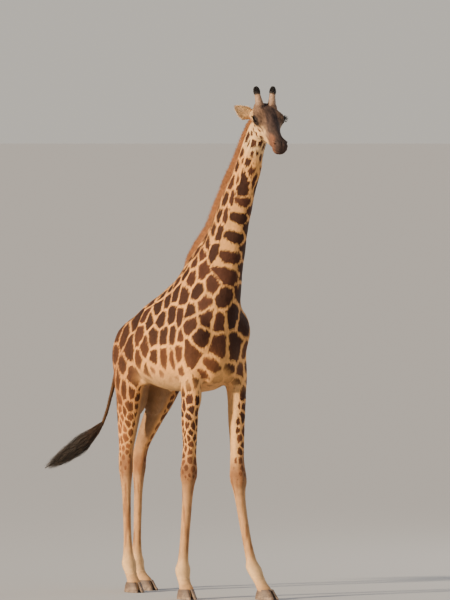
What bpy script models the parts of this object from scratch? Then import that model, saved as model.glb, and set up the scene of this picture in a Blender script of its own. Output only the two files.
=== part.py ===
"""A life-size standing giraffe, as a museum model: flesh, mane, tail, ears, horns, eyes and hooves.

Frame: metres, +Z up, the animal faces -Y, its left side is +X. The origin is under the middle of the
bounding box, on the ground. Places on the body are written as (forward, left, up), measured from the
ground point midway between the elbows, and body_point() turns them into the frame. Places on the head
are (along, left, crown), measured from the poll, and head_point() turns them into the frame.

Every shape reaches to the tips of the short coat.
"""

import math

import bmesh
import bpy
import numpy as np

# ---- driving dimensions, in metres -------------------------------------------------------------
GAP = 0.0004  # clearance between neighbouring solids
ORIGIN_FORWARD = -0.3427
ORIGIN_LEFT = -0.1293
BODY_VOXEL = 0.011
HEAD_VOXEL = 0.0055
BODY_SMOOTH = 320
LIMB_SMOOTH = 4
HEAD_SMOOTH = 30
BODY_GROWTH = 0.010  # makes good what smoothing takes off
LIMB_GROWTH = 0.0015
HEAD_GROWTH = 0.0035
BODY_TRIANGLES = 3850
HEAD_TRIANGLES = 1250
TAIL_TRIANGLES = 220
MANE_TRIANGLES = 300
EAR_TRIANGLES = 220
HORN_TRIANGLES = 200
BLENDED = (1.72, 1.95, 2.75, 3.05)  # heights over which the blending of muscles starts and ends
HOOF_TOP = 0.088

# ---- trunk: forward, top, bottom, widest height, half width, upper and lower roundness ----------
TRUNK = np.array([
    (-1.500, 2.12, 1.93, 2.03, 0.050, 2.0, 2.0),
    (-1.450, 2.21, 1.84, 2.05, 0.130, 2.0, 2.0),
    (-1.320, 2.34, 1.80, 2.08, 0.205, 1.9, 2.1),
    (-1.150, 2.445, 1.82, 2.12, 0.255, 1.9, 2.2),
    (-0.950, 2.550, 1.82, 2.12, 0.300, 1.8, 2.2),
    (-0.750, 2.63, 1.785, 2.12, 0.330, 1.8, 2.2),
    (-0.550, 2.735, 1.765, 2.13, 0.335, 1.7, 2.2),
    (-0.400, 2.80, 1.765, 2.16, 0.315, 1.6, 2.2),
    (-0.200, 2.79, 1.77, 2.20, 0.285, 1.6, 2.1),
    (-0.020, 2.68, 1.79, 2.24, 0.250, 1.8, 2.0),
    (0.120, 2.50, 1.86, 2.24, 0.205, 2.0, 2.0),
    (0.210, 2.38, 1.99, 2.22, 0.130, 2.0, 2.0),
    (0.245, 2.30, 2.09, 2.20, 0.050, 2.0, 2.0),
])

# ---- neck: nape forward, up, throat forward, up, left, half width, roundness at the nape --------
NECK = np.array([
    (-0.520, 2.690, 0.200, 2.150, 0.000, 0.285, 1.8),
    (-0.450, 2.820, 0.285, 2.430, 0.000, 0.232, 1.7),
    (-0.270, 2.995, 0.362, 2.690, 0.000, 0.182, 1.5),
    (-0.025, 3.185, 0.417, 2.935, 0.002, 0.153, 1.45),
    (0.108, 3.370, 0.482, 3.140, 0.006, 0.132, 1.45),
    (0.245, 3.560, 0.565, 3.360, 0.012, 0.115, 1.45),
    (0.320, 3.665, 0.608, 3.480, 0.020, 0.107, 1.45),
    (0.436, 3.830, 0.680, 3.668, 0.030, 0.097, 1.5),
    (0.518, 3.965, 0.722, 3.825, 0.040, 0.089, 1.6),
    (0.600, 4.090, 0.788, 3.970, 0.053, 0.083, 1.8),
    (0.668, 4.140, 0.825, 4.050, 0.062, 0.058, 2.0),
])

# ---- head: along, crown, widest height, chin, half width, roundness above and below -------------
HEAD_AT = (0.692, 0.081, 4.192)
HEAD_YAW = math.radians(9.0)  # turned to its right
HEAD_PITCH = math.radians(32.0)  # below level
HEAD = np.array([
    (-0.050, 0.035, 0.000, -0.050, 0.030, 2.0, 2.0),
    (-0.020, 0.074, 0.000, -0.085, 0.080, 2.0, 2.0),
    (0.040, 0.100, 0.010, -0.115, 0.102, 2.2, 2.0),
    (0.100, 0.106, 0.025, -0.142, 0.116, 2.4, 1.7),
    (0.160, 0.102, 0.030, -0.156, 0.129, 2.5, 1.5),
    (0.205, 0.091, 0.028, -0.154, 0.122, 2.4, 1.45),
    (0.255, 0.077, 0.015, -0.146, 0.091, 2.2, 1.6),
    (0.315, 0.063, 0.000, -0.132, 0.065, 2.0, 1.8),
    (0.375, 0.053, -0.012, -0.114, 0.052, 2.0, 1.9),
    (0.435, 0.046, -0.015, -0.096, 0.049, 2.0, 2.1),
    (0.495, 0.043, -0.014, -0.083, 0.056, 2.3, 2.2),
    (0.545, 0.034, -0.014, -0.071, 0.057, 2.4, 2.3),
    (0.580, 0.004, -0.022, -0.050, 0.035, 2.0, 2.0),
])
EYE_AT = (0.185, 0.112, 0.030)
EYE_RADIUS = 0.029
# centre (along, left, crown) and radii of the forms on both sides of the head
HEAD_FORMS = (
    ((0.176, 0.092, 0.036), (0.068, 0.050, 0.048)),  # socket of the eye
    ((0.160, 0.062, -0.060), (0.120, 0.046, 0.085)),  # cheek
    ((0.060, 0.058, 0.072), (0.062, 0.044, 0.050)),  # horn base
    ((0.515, 0.020, -0.002), (0.062, 0.044, 0.044)),  # upper lip and nostril
    ((0.508, 0.013, -0.064), (0.058, 0.038, 0.026)),  # lower lip
    ((0.012, 0.070, -0.020), (0.044, 0.038, 0.050)),  # ear base
)

# ---- horns and ears, in head places ------------------------------------------------------------
HORN = np.array([
    (0.075, 0.052, 0.065, 0.042), (0.045, 0.057, 0.105, 0.034), (0.016, 0.063, 0.138, 0.0255),
    (-0.008, 0.068, 0.163, 0.0235), (-0.024, 0.072, 0.180, 0.0285), (-0.037, 0.0745, 0.193, 0.0310),
    (-0.047, 0.0765, 0.2035, 0.0230), (-0.0515, 0.077, 0.2085, 0.0070),
])
EAR_LENGTH = 0.175
EAR = np.array([  # place along the ear, half width, half thickness, cup
    (0.00, 0.026, 0.0150, 0.000), (0.15, 0.033, 0.0110, 0.010), (0.35, 0.050, 0.0065, 0.024),
    (0.55, 0.053, 0.0050, 0.027), (0.75, 0.043, 0.0045, 0.020), (0.90, 0.022, 0.0040, 0.008),
    (1.00, 0.006, 0.0030, 0.000),
])
# base in head places; then in body directions the ear's axis and the way it opens
EARS = {
    "ear_right": ((0.004, -0.082, -0.040), (-0.10, -0.86, 0.44), (0.80, -0.05, -0.40)),
    "ear_left": ((0.004, 0.082, -0.030), (-0.72, 0.45, 0.18), (0.30, 0.85, -0.30)),
}

# ---- legs: joints as (forward, left, up), then sections by their place on that chain ------------
LEG_JOINTS = {
    "leg_front_right": ((0.00, -0.190, 2.30), (0.00, -0.220, 1.90), (-0.005, -0.236, 1.11),
                        (-0.055, -0.266, 0.26), (0.015, -0.272, 0.09), (0.045, -0.275, 0.02)),
    "leg_front_left": ((0.00, 0.190, 2.30), (0.025, 0.220, 1.90), (0.118, 0.180, 1.06),
                       (0.262, 0.253, 0.27), (0.385, 0.285, 0.09), (0.43, 0.296, 0.02)),
    "leg_hind_right": ((-1.17, -0.150, 2.30), (-1.10, -0.190, 1.85), (-1.258, -0.146, 1.12),
                       (-1.215, -0.144, 0.25), (-1.14, -0.140, 0.09), (-1.11, -0.140, 0.02)),
    "leg_hind_left": ((-1.17, 0.150, 2.30), (-1.12, 0.190, 1.85), (-1.478, 0.112, 1.13),
                      (-1.520, 0.108, 0.25), (-1.395, 0.118, 0.09), (-1.35, 0.122, 0.02)),
}
# place on the chain (0 shoulder, 1 elbow, 2 knee, 3 fetlock, 4 crown of the hoof), front, back, half
FORE_SECTIONS = np.array([
    (0.00, 0.110, 0.150, 0.080), (0.50, 0.130, 0.170, 0.092), (1.00, 0.112, 0.140, 0.090),
    (1.15, 0.100, 0.115, 0.083), (1.30, 0.091, 0.096, 0.076), (1.50, 0.081, 0.084, 0.067),
    (1.75, 0.068, 0.069, 0.059), (1.90, 0.074, 0.069, 0.065), (2.00, 0.086, 0.078, 0.076),
    (2.06, 0.084, 0.077, 0.074), (2.15, 0.058, 0.062, 0.056), (2.30, 0.044, 0.051, 0.044),
    (2.60, 0.040, 0.048, 0.038), (2.82, 0.044, 0.055, 0.043), (3.00, 0.060, 0.074, 0.064),
    (3.15, 0.058, 0.070, 0.063), (3.60, 0.050, 0.058, 0.055), (4.00, 0.062, 0.060, 0.064),
    (5.00, 0.070, 0.060, 0.068),
])
HIND_SECTIONS = np.array([
    (0.00, 0.170, 0.180, 0.090), (0.50, 0.200, 0.240, 0.112), (1.00, 0.182, 0.215, 0.120),
    (1.25, 0.155, 0.172, 0.105), (1.50, 0.128, 0.130, 0.084), (1.75, 0.092, 0.100, 0.064),
    (1.88, 0.075, 0.098, 0.057), (1.95, 0.075, 0.106, 0.057), (2.05, 0.071, 0.100, 0.058),
    (2.15, 0.056, 0.074, 0.049), (2.30, 0.042, 0.052, 0.037), (2.60, 0.037, 0.044, 0.032),
    (2.82, 0.044, 0.055, 0.042), (3.00, 0.060, 0.074, 0.061), (3.15, 0.057, 0.068, 0.059),
    (3.60, 0.050, 0.056, 0.052), (4.00, 0.060, 0.056, 0.061), (5.00, 0.066, 0.056, 0.064),
])

# ---- muscles: centre, radii (forward, left, up), tilt of the long axis; made on both sides -------
MUSCLES = (
    ((-0.120, 0.165, 2.46), (0.170, 0.085, 0.360), 33.0),  # shoulder blade
    ((0.055, 0.198, 2.31), (0.165, 0.120, 0.205), 14.0),  # point of the shoulder
    ((-0.110, 0.200, 2.06), (0.180, 0.095, 0.230), 30.0),  # triceps
    ((0.100, 0.075, 2.05), (0.125, 0.105, 0.210), 0.0),  # breast
    ((0.035, 0.215, 1.80), (0.080, 0.075, 0.230), 0.0),  # forearm
    ((-1.120, 0.160, 2.10), (0.270, 0.112, 0.280), -20.0),  # thigh
    ((-1.200, 0.115, 2.20), (0.210, 0.110, 0.130), 60.0),  # croup
    ((-1.010, 0.175, 2.30), (0.110, 0.070, 0.080), 0.0),  # hip bone
    ((-1.355, 0.115, 2.01), (0.120, 0.100, 0.250), 8.0),  # buttock
    ((-1.215, 0.085, 1.80), (0.185, 0.085, 0.270), 10.0),  # inside of the thigh
    ((-0.960, 0.150, 1.93), (0.150, 0.070, 0.130), -25.0),  # fold of the flank
)
NAVEL = ((-0.730, 0.0, 1.775), (0.050, 0.020, 0.024), 0.0)

# ---- mane: share of the neck's length, height above the nape, half thickness ---------------------
MANE = np.array([
    (0.080, -0.020, 0.014), (0.115, 0.040, 0.018), (0.18, 0.080, 0.022), (0.28, 0.094, 0.023),
    (0.40, 0.090, 0.022), (0.60, 0.084, 0.021), (0.76, 0.080, 0.019), (0.89, 0.068, 0.017),
    (0.96, 0.044, 0.014), (1.00, 0.000, 0.008),
])
MANE_ROOT = 0.030  # how deep its foot goes into the neck

# ---- tail: forward, left, up, radius -----------------------------------------------------------
TAIL = np.array([
    (-1.380, 0.000, 2.250, 0.050), (-1.490, -0.005, 2.205, 0.043), (-1.548, -0.025, 2.100, 0.033),
    (-1.566, -0.070, 1.920, 0.025), (-1.560, -0.120, 1.740, 0.020), (-1.560, -0.170, 1.570, 0.018),
    (-1.573, -0.215, 1.440, 0.018),
])
TAIL_TUFT = np.array([
    (-1.570, -0.207, 1.470, 0.022), (-1.590, -0.252, 1.405, 0.044), (-1.622, -0.312, 1.338, 0.072),
    (-1.668, -0.380, 1.268, 0.084), (-1.728, -0.455, 1.197, 0.072), (-1.798, -0.540, 1.125, 0.046),
    (-1.862, -0.622, 1.066, 0.010),
])
TUFT_FLATNESS = 0.85

# ---- hooves: two claws to a foot -----------------------------------------------------------------
# joint on the ground (forward, left), turn outwards in degrees
HOOVES = {
    "hoof_front_right": (0.030, -0.275, 6.0),
    "hoof_front_left": (0.410, 0.293, 10.0),
    "hoof_hind_right": (-1.130, -0.140, 6.0),
    "hoof_hind_left": (-1.375, 0.120, 6.0),
}
CLAW = np.array([  # height, heel, toe, inner side, outer side
    (0.000, -0.086, 0.128, 0.004, 0.076), (0.006, -0.088, 0.130, 0.003, 0.079),
    (0.035, -0.084, 0.104, 0.003, 0.075), (0.065, -0.076, 0.080, 0.002, 0.070),
    (HOOF_TOP - GAP, -0.066, 0.062, 0.002, 0.063),
])
TOE_POINT = 0.42  # how far the toe draws in to the cleft

# ---- where the flesh is parted ------------------------------------------------------------------
HEAD_CUT = ((0.570, 4.130), (0.820, 3.870))
NECK_CUT = ((-0.400, 2.900), (0.270, 2.150))
FORE_CUT = (0.10, 1.715, 0.34, 1.99)  # inner side and height, outer side and height
HIND_CUT = (0.00, 1.700, 0.34, 2.16)
HIND_CUT_FRONT = -0.885
FAR = 3.0

COLOURS = {
    "flesh": (0.40, 0.22, 0.10), "mane": (0.36, 0.14, 0.05), "tuft": (0.02, 0.015, 0.012),
    "horn": (0.22, 0.13, 0.08), "eye": (0.02, 0.01, 0.008), "hoof": (0.16, 0.13, 0.10),
}


def body_point(forward, left, up):
    """A place on the body, as a point of the part's frame."""
    return np.stack(np.broadcast_arrays(left - ORIGIN_LEFT, ORIGIN_FORWARD - forward, up), -1)


def body_direction(forward, left, up):
    way = np.array((left, -forward, up), float)
    return way / np.linalg.norm(way)


def head_point(along, left, crown):
    """A place on the head, measured from its poll, as a point of the part's frame."""
    level = (math.cos(HEAD_YAW), -math.sin(HEAD_YAW))
    down, flat = math.sin(HEAD_PITCH), math.cos(HEAD_PITCH)
    a = body_direction(level[0] * flat, level[1] * flat, -down)
    c = body_direction(level[0] * down, level[1] * down, flat)
    along, left, crown = np.broadcast_arrays(along, left, crown)
    return (body_point(*HEAD_AT) + along[..., None] * a + left[..., None] * np.cross(c, a)
            + crown[..., None] * c)


def at_places(knots, values, places):
    """A smooth curve through (knots, values) that never overshoots them, read at places."""
    values = np.asarray(values, float).reshape(len(knots), -1)
    step = np.diff(knots)[:, None]
    rise = np.diff(values, axis=0) / step
    slope = np.zeros_like(values)
    slope[0], slope[-1] = rise[0], rise[-1]
    before, after = rise[:-1], rise[1:]
    same = before * after > 0
    slope[1:-1][same] = (2 * before * after / np.where(same, before + after, 1.0))[same]
    i = np.clip(np.searchsorted(knots, places, side="right") - 1, 0, len(knots) - 2)
    h = step[i]
    t = (places - knots[i])[:, None] / h
    return (
        values[i] * (1 + 2 * t) * (1 - t) ** 2 + values[i + 1] * t * t * (3 - 2 * t)
        + slope[i] * h * t * (1 - t) ** 2 - slope[i + 1] * h * t * t * (1 - t)
    )


def spread(table, count):
    """A table of sections, read at count even steps of its rows."""
    rows = np.arange(len(table), dtype=float)
    return at_places(rows, table, np.linspace(0.0, rows[-1], count))


def oval(sides, above, below):
    """Cosines and sines of unit superellipses, each with its own roundness above and below."""
    angle = np.linspace(0.0, 2 * math.pi, sides, endpoint=False)[None, :]
    c, s = np.cos(angle), np.sin(angle)
    power = np.where(s > 0, 2 / np.reshape(above, (-1, 1)), 2 / np.reshape(below, (-1, 1)))
    return np.sign(c) * np.abs(c) ** power, np.sign(s) * np.abs(s) ** power


def closed_mesh(points, faces):
    """A mesh of these points and faces, with its normals outwards."""
    mesh = bpy.data.meshes.new("solid")
    mesh.from_pydata([tuple(p) for p in points], [], faces)
    shape = bmesh.new()
    shape.from_mesh(mesh)
    bmesh.ops.recalc_face_normals(shape, faces=shape.faces)
    shape.to_mesh(mesh)
    shape.free()
    return mesh


def loft(rings):
    """A closed mesh through rings of points, fanned to the middle of the first and the last."""
    count, sides = rings.shape[:2]
    faces = []
    for r in range(count - 1):
        for s in range(sides):
            a, b = r * sides + s, r * sides + (s + 1) % sides
            faces.append((a, b, b + sides, a + sides))
    first, last = count * sides, count * sides + 1
    for s in range(sides):
        faces.append((first, (s + 1) % sides, s))
        faces.append((last, (count - 1) * sides + s, (count - 1) * sides + (s + 1) % sides))
    return closed_mesh([*rings.reshape(-1, 3), rings[0].mean(0), rings[-1].mean(0)], faces)


def trunk_mesh(rings=44, sides=44):
    """Upright sections from the rump to the breast."""
    f, top, bottom, wide, half, above, below = spread(TRUNK, rings).T
    c, s = oval(sides, above, below)
    up = wide[:, None] + np.where(s > 0, s * (top - wide)[:, None], s * (wide - bottom)[:, None])
    return loft(body_point(f[:, None] + 0 * s, half[:, None] * c, up))


def neck_mesh(rings=44, sides=36):
    """Sections across the neck, each between a point of the nape and one of the throat."""
    nf, nz, tf, tz, left, half, above = (x[:, None] for x in spread(NECK, rings).T)
    c, s = oval(sides, above, np.full(rings, 2.0))
    forward = (nf + tf) / 2 + (nf - tf) / 2 * s
    up = (nz + tz) / 2 + (nz - tz) / 2 * s
    return loft(body_point(forward, left + half * c, up))


def head_mesh(rings=48, sides=36):
    """Sections across the head, from the poll to the lips."""
    along, crown, wide, chin, half, above, below = spread(HEAD, rings).T
    c, s = oval(sides, above, below)
    up = wide[:, None] + s * np.where(s > 0, (crown - wide)[:, None], (wide - chin)[:, None])
    return loft(head_point(along[:, None] + 0 * s, half[:, None] * c, up))


def leg_mesh(joints, sections, rings=80, sides=28):
    """Level sections down one leg, whose centres follow the smooth chain of its joints."""
    place, front, back, half = spread(sections, rings).T
    f, left, up = at_places(np.arange(len(joints), dtype=float), np.array(joints), place).T
    c, s = oval(sides, np.full(rings, 2.0), np.full(rings, 2.0))
    forward = f[:, None] + np.where(s > 0, s * front[:, None], s * back[:, None])
    return loft(body_point(forward, left[:, None] + half[:, None] * c, up[:, None] + 0 * s))


def tube_mesh(line, radius, sides=20, flat=1.0):
    """Round sections along a line of points."""
    tangent = np.gradient(line, axis=0)
    tangent /= np.linalg.norm(tangent, axis=1)[:, None]
    side = np.cross(tangent, (0.35, -1.0, 0.2))
    side /= np.linalg.norm(side, axis=1)[:, None]
    other = np.cross(side, tangent)
    c, s = oval(sides, np.full(len(line), 2.0), np.full(len(line), 2.0))
    r = radius[:, None, None]
    return loft(line[:, None] + r * c[..., None] * side[:, None]
                + flat * r * s[..., None] * other[:, None])


def ball_points(radii, columns=24, rows=16):
    """Rings of an ellipsoid about the origin, with axes (first, second, third)."""
    lat = np.linspace(-math.pi / 2, math.pi / 2, rows + 2)[1:-1, None]
    lon = np.linspace(0.0, 2 * math.pi, columns, endpoint=False)[None, :]
    return (radii[0] * np.cos(lat) * np.cos(lon), radii[1] * np.cos(lat) * np.sin(lon),
            radii[2] * np.sin(lat) + 0 * lon)


def muscle_mesh(centre, radii, tilt):
    """An ellipsoid on the body, its upright axis leaning back by tilt degrees."""
    f, left, up = ball_points(radii)
    lean = math.radians(tilt)
    forward = f * math.cos(lean) - up * math.sin(lean)
    height = f * math.sin(lean) + up * math.cos(lean)
    return loft(body_point(centre[0] + forward, centre[1] + left, centre[2] + height))


def head_form_mesh(centre, radii):
    """An ellipsoid on the head, square to its axes."""
    along, left, crown = ball_points(radii)
    return loft(head_point(centre[0] + along, centre[1] + left, centre[2] + crown))


def mane_mesh(rings=40, sides=14):
    """An upright crest along the nape, wider at its foot."""
    share, height, half = spread(MANE, rings).T
    table = at_places(np.arange(len(NECK), dtype=float), NECK, share * (len(NECK) - 1))
    nf, nz, tf, tz, left, _, _ = table.T
    out = np.stack((nf - tf, nz - tz), 1)
    out /= np.linalg.norm(out, axis=1)[:, None]
    c, s = oval(sides, np.full(rings, 2.0), np.full(rings, 2.0))
    lift = (s + 1) / 2 * (height + MANE_ROOT)[:, None] - MANE_ROOT
    width = half[:, None] * c * (1.15 - 0.25 * (s + 1) / 2)
    return loft(body_point((nf[:, None] + lift * out[:, :1]), left[:, None] + width,
                           nz[:, None] + lift * out[:, 1:]))


def horn_mesh(side):
    along, left, crown, radius = spread(HORN, 22).T
    return tube_mesh(head_point(along, side * left, crown), radius, 16)


def ear_mesh(base, axis, opening, rings=16, sides=18):
    """A leaf, cupped towards the way it opens."""
    place, half, thick, cup = spread(EAR, rings).T
    along = body_direction(*axis)
    across = np.cross(along, body_direction(*opening))
    across /= np.linalg.norm(across)
    face = np.cross(across, along)
    c, s = oval(sides, np.full(rings, 2.0), np.full(rings, 2.0))
    lift = thick[:, None] * s + cup[:, None] * c * c
    return loft(head_point(*base) + (EAR_LENGTH * place)[:, None, None] * along
                + (half[:, None] * c)[..., None] * across + lift[..., None] * face)


def claw_mesh(foot, side, sides=16):
    """One claw of a hoof: flat on the ground, drawn in to the cleft at the toe."""
    forward, left, turn = foot
    height, heel, toe, inner, outer = (x[:, None] for x in CLAW.T)
    c, s = oval(sides, np.full(len(CLAW), 2.4), np.full(len(CLAW), 2.4))
    u = (heel + toe) / 2 + (toe - heel) / 2 * c
    v = (inner + outer) / 2 + (outer - inner) / 2 * s
    front = np.clip((u - heel) / (toe - heel), 0.0, 1.0) ** 3
    v = inner + (v - inner) * (1 - TOE_POINT * front)
    out = math.radians(turn) * (1 if left > 0 else -1)
    across = side * v
    return loft(body_point(forward + u * math.cos(out) - across * math.sin(out),
                           left + u * math.sin(out) + across * math.cos(out), height + 0 * u))


def joined(meshes):
    """One mesh that holds all of these."""
    shape = bmesh.new()
    for mesh in meshes:
        shape.from_mesh(mesh)
    whole = bpy.data.meshes.new("joined")
    shape.to_mesh(whole)
    shape.free()
    return whole


def with_modifiers(mesh, *steps, weights=None):
    """The mesh after a stack of modifiers, each given as (type, {setting: value})."""
    helper = bpy.data.objects.new("helper", mesh)
    bpy.context.scene.collection.objects.link(helper)
    if weights is not None:
        group = helper.vertex_groups.new(name="share")
        for index, weight in enumerate(weights):
            group.add([index], float(weight), "REPLACE")
    for kind, settings in steps:
        modifier = helper.modifiers.new(kind.title(), kind)
        for name, value in settings.items():
            setattr(modifier, name, value)
    graph = bpy.context.evaluated_depsgraph_get()
    made = bpy.data.meshes.new_from_object(helper.evaluated_get(graph))
    bpy.data.objects.remove(helper)
    return made


def heights(mesh):
    points = np.empty(len(mesh.vertices) * 3, np.float32)
    mesh.vertices.foreach_get("co", points)
    return points[2::3]


def in_few_faces(mesh, triangles):
    count = sum(len(p.vertices) - 2 for p in mesh.polygons)
    return with_modifiers(mesh, ("DECIMATE", {"ratio": triangles / count}))


def one_body(meshes):
    """Overlapping closed shapes as one closed surface, with the muscles of the trunk blended."""
    fine = with_modifiers(joined(meshes), ("REMESH", {"mode": "VOXEL", "voxel_size": BODY_VOXEL}))
    share = np.interp(heights(fine), BLENDED, (0.0, 1.0, 1.0, 0.0))
    fine = with_modifiers(
        fine,
        ("SMOOTH", {"factor": 0.5, "iterations": LIMB_SMOOTH}),
        ("DISPLACE", {"strength": LIMB_GROWTH, "mid_level": 0.0}),
        ("SMOOTH", {"factor": 0.5, "iterations": BODY_SMOOTH, "vertex_group": "share"}),
        ("DISPLACE", {"strength": BODY_GROWTH, "mid_level": 0.0, "vertex_group": "share"}),
        weights=share,
    )
    return in_few_faces(fine, BODY_TRIANGLES)


def one_head(meshes):
    fine = with_modifiers(
        joined(meshes),
        ("REMESH", {"mode": "VOXEL", "voxel_size": HEAD_VOXEL}),
        ("SMOOTH", {"factor": 0.5, "iterations": HEAD_SMOOTH}),
        ("DISPLACE", {"strength": HEAD_GROWTH, "mid_level": 0.0}),
    )
    return in_few_faces(fine, HEAD_TRIANGLES)


def hull(corners):
    """The closed convex solid round these points."""
    shape = bmesh.new()
    for corner in corners:
        shape.verts.new(corner)
    bmesh.ops.convex_hull(shape, input=shape.verts)
    bmesh.ops.recalc_face_normals(shape, faces=shape.faces)
    mesh = bpy.data.meshes.new("hull")
    shape.to_mesh(mesh)
    shape.free()
    return mesh


def half_space(cut, above, shift):
    """A huge block on one side of a plane across the neck, given by two (forward, up) points."""
    (f0, z0), (f1, z1) = cut
    way = np.array((f1 - f0, z1 - z0))
    way /= np.linalg.norm(way)
    normal = np.array((-way[1], way[0])) * (1 if above else -1)
    start = np.array((f0, z0)) + normal * shift
    corners = []
    for reach in (-FAR, FAR):
        for depth in (0.0, 2 * FAR):
            f, z = start + way * reach + normal * depth
            corners += [body_point(f, left, z) for left in (-FAR, FAR)]
    return hull(corners)


def leg_block(cut, side, front, back, margin):
    """The room below a sloping plane on one side of the body, between two places along it."""
    inner, low, outer, high = cut
    slope = (high - low) / (outer - inner)
    corners = []
    for f in (front + margin, back - margin):
        for left in (GAP / 2 - 2 * margin, FAR / 4):
            top = low + (left - inner) * slope + margin
            corners += [body_point(f, side * left, up) for up in (-1.0, top)]
    return hull(corners)


def above_hooves():
    span = (-FAR, FAR)
    return hull([(x, y, z) for x in span for y in span for z in (HOOF_TOP, FAR)])


def cut_with(mesh, cutter, operation):
    """The mesh after an exact Boolean with another closed mesh."""
    tool = bpy.data.objects.new("tool", cutter)
    bpy.context.scene.collection.objects.link(tool)
    made = with_modifiers(mesh, ("BOOLEAN", {"object": tool, "operation": operation,
                                             "solver": "EXACT"}))
    bpy.data.objects.remove(tool)
    return made


def grown(mesh, amount):
    return with_modifiers(mesh, ("DISPLACE", {"strength": amount, "mid_level": 0.0}))


def biggest_piece(mesh):
    """The mesh without any small crumbs that a cut left beside it."""
    shape = bmesh.new()
    shape.from_mesh(mesh)
    left = set(shape.verts)
    groups = []
    while left:
        group, queue = set(), [left.pop()]
        while queue:
            vertex = queue.pop()
            group.add(vertex)
            for edge in vertex.link_edges:
                other = edge.other_vert(vertex)
                if other in left:
                    left.discard(other)
                    queue.append(other)
        groups.append(group)
    keep = max(groups, key=len)
    bmesh.ops.delete(shape, geom=[v for v in shape.verts if v not in keep], context="VERTS")
    bmesh.ops.dissolve_degenerate(shape, dist=1e-5, edges=shape.edges)
    bmesh.ops.triangulate(shape, faces=shape.faces)
    made = bpy.data.meshes.new("piece")
    shape.to_mesh(made)
    shape.free()
    return made


def material(kind):
    look = bpy.data.materials.get(kind) or bpy.data.materials.new(kind)
    look.use_nodes = True
    shader = look.node_tree.nodes["Principled BSDF"]
    shader.inputs["Base Color"].default_value = (*COLOURS[kind], 1.0)
    shader.inputs["Roughness"].default_value = 0.15 if kind == "eye" else 0.75
    return look


def place(name, mesh, kind, collection):
    """A named sub-part, with its origin at the middle of its box."""
    mesh = biggest_piece(mesh)
    points = np.array([v.co for v in mesh.vertices])
    middle = (points.min(0) + points.max(0)) / 2
    for vertex in mesh.vertices:
        vertex.co = vertex.co - type(vertex.co)(middle)
    thing = bpy.data.objects.new(name, mesh)
    thing.location = middle
    mesh.name = name
    mesh.materials.clear()
    mesh.materials.append(material(kind))
    collection.objects.link(thing)


def leg_cuts(margin):
    """The block that each leg is cut out with, by leg."""
    blocks = {}
    for name in LEG_JOINTS:
        side = 1 if "left" in name else -1
        fore = "front" in name
        span = (FAR / 4, -0.70) if fore else (HIND_CUT_FRONT, -FAR)
        blocks[name] = leg_block(FORE_CUT if fore else HIND_CUT, side, *span, margin)
    return blocks


def flesh_nodes():
    """Models the flesh whole and parts it with thin cuts."""
    loose = [trunk_mesh(), neck_mesh(), muscle_mesh(*NAVEL)]
    for name, joints in LEG_JOINTS.items():
        loose.append(leg_mesh(joints, FORE_SECTIONS if "front" in name else HIND_SECTIONS))
    for (f, left, up), radii, tilt in MUSCLES:
        loose += [muscle_mesh((f, side * left, up), radii, tilt) for side in (1, -1)]
    skull = [head_mesh(), neck_mesh()]
    for (along, left, crown), radii in HEAD_FORMS:
        skull += [head_form_mesh((along, side * left, crown), radii) for side in (1, -1)]
    body = cut_with(one_body([*loose, *skull]), half_space(HEAD_CUT, False, 0.0), "INTERSECT")
    nodes = {"head": cut_with(one_head(skull), half_space(HEAD_CUT, True, GAP), "INTERSECT")}
    for side in (1, -1):
        nodes["head"] = cut_with(nodes["head"], eye_mesh(side, EYE_RADIUS + GAP), "DIFFERENCE")
    nodes["neck"] = cut_with(body, half_space(NECK_CUT, True, GAP), "INTERSECT")
    nodes["trunk"] = cut_with(body, half_space(NECK_CUT, False, 0.0), "INTERSECT")
    for block in leg_cuts(GAP).values():
        nodes["trunk"] = cut_with(nodes["trunk"], block, "DIFFERENCE")
    for name, block in leg_cuts(0.0).items():
        leg = cut_with(body, block, "INTERSECT")
        nodes[name] = cut_with(leg, above_hooves(), "INTERSECT")
    return body, nodes


def eye_mesh(side, radius):
    along, left, crown = ball_points((radius,) * 3, 16, 7)
    return loft(head_point(EYE_AT[0] + along, side * EYE_AT[1] + left, EYE_AT[2] + crown))


def tail_mesh(table, rings, flat):
    f, left, up, radius = spread(table, rings).T
    return tube_mesh(body_point(f, left, up), radius, 16, flat)


def clear_of(mesh, others):
    """The mesh cut back so that it clears each of the others."""
    for other in others:
        mesh = cut_with(mesh, grown(other, GAP), "DIFFERENCE")
    return mesh


def main():
    for thing in list(bpy.data.objects):
        bpy.data.objects.remove(thing)
    giraffe = bpy.data.collections.new("giraffe")
    bpy.context.scene.collection.children.link(giraffe)
    body, nodes = flesh_nodes()
    for name, mesh in nodes.items():
        place(name, mesh, "flesh", giraffe)
    head = nodes["head"]
    tail = in_few_faces(tail_mesh(TAIL, 30, 1.0), TAIL_TRIANGLES)
    place("tail", clear_of(tail, [body]), "flesh", giraffe)
    tuft = in_few_faces(tail_mesh(TAIL_TUFT, 24, TUFT_FLATNESS), TAIL_TRIANGLES)
    place("tail_tuft", clear_of(tuft, [tail]), "tuft", giraffe)
    mane = in_few_faces(mane_mesh(), MANE_TRIANGLES)
    place("mane", clear_of(mane, [body, head]), "mane", giraffe)
    for name, (base, axis, opening) in EARS.items():
        ear = in_few_faces(ear_mesh(base, axis, opening), EAR_TRIANGLES)
        place(name, clear_of(ear, [head, body]), "flesh", giraffe)
    for name, side in (("right", -1), ("left", 1)):
        place("eye_" + name, eye_mesh(side, EYE_RADIUS), "eye", giraffe)
        horn = in_few_faces(horn_mesh(side), HORN_TRIANGLES)
        place("horn_" + name, clear_of(horn, [head]), "horn", giraffe)
    for name, foot in HOOVES.items():
        for label, side in (("_a", -1), ("_b", 1)):
            place(name + label, claw_mesh(foot, side), "hoof", giraffe)


main()
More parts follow.
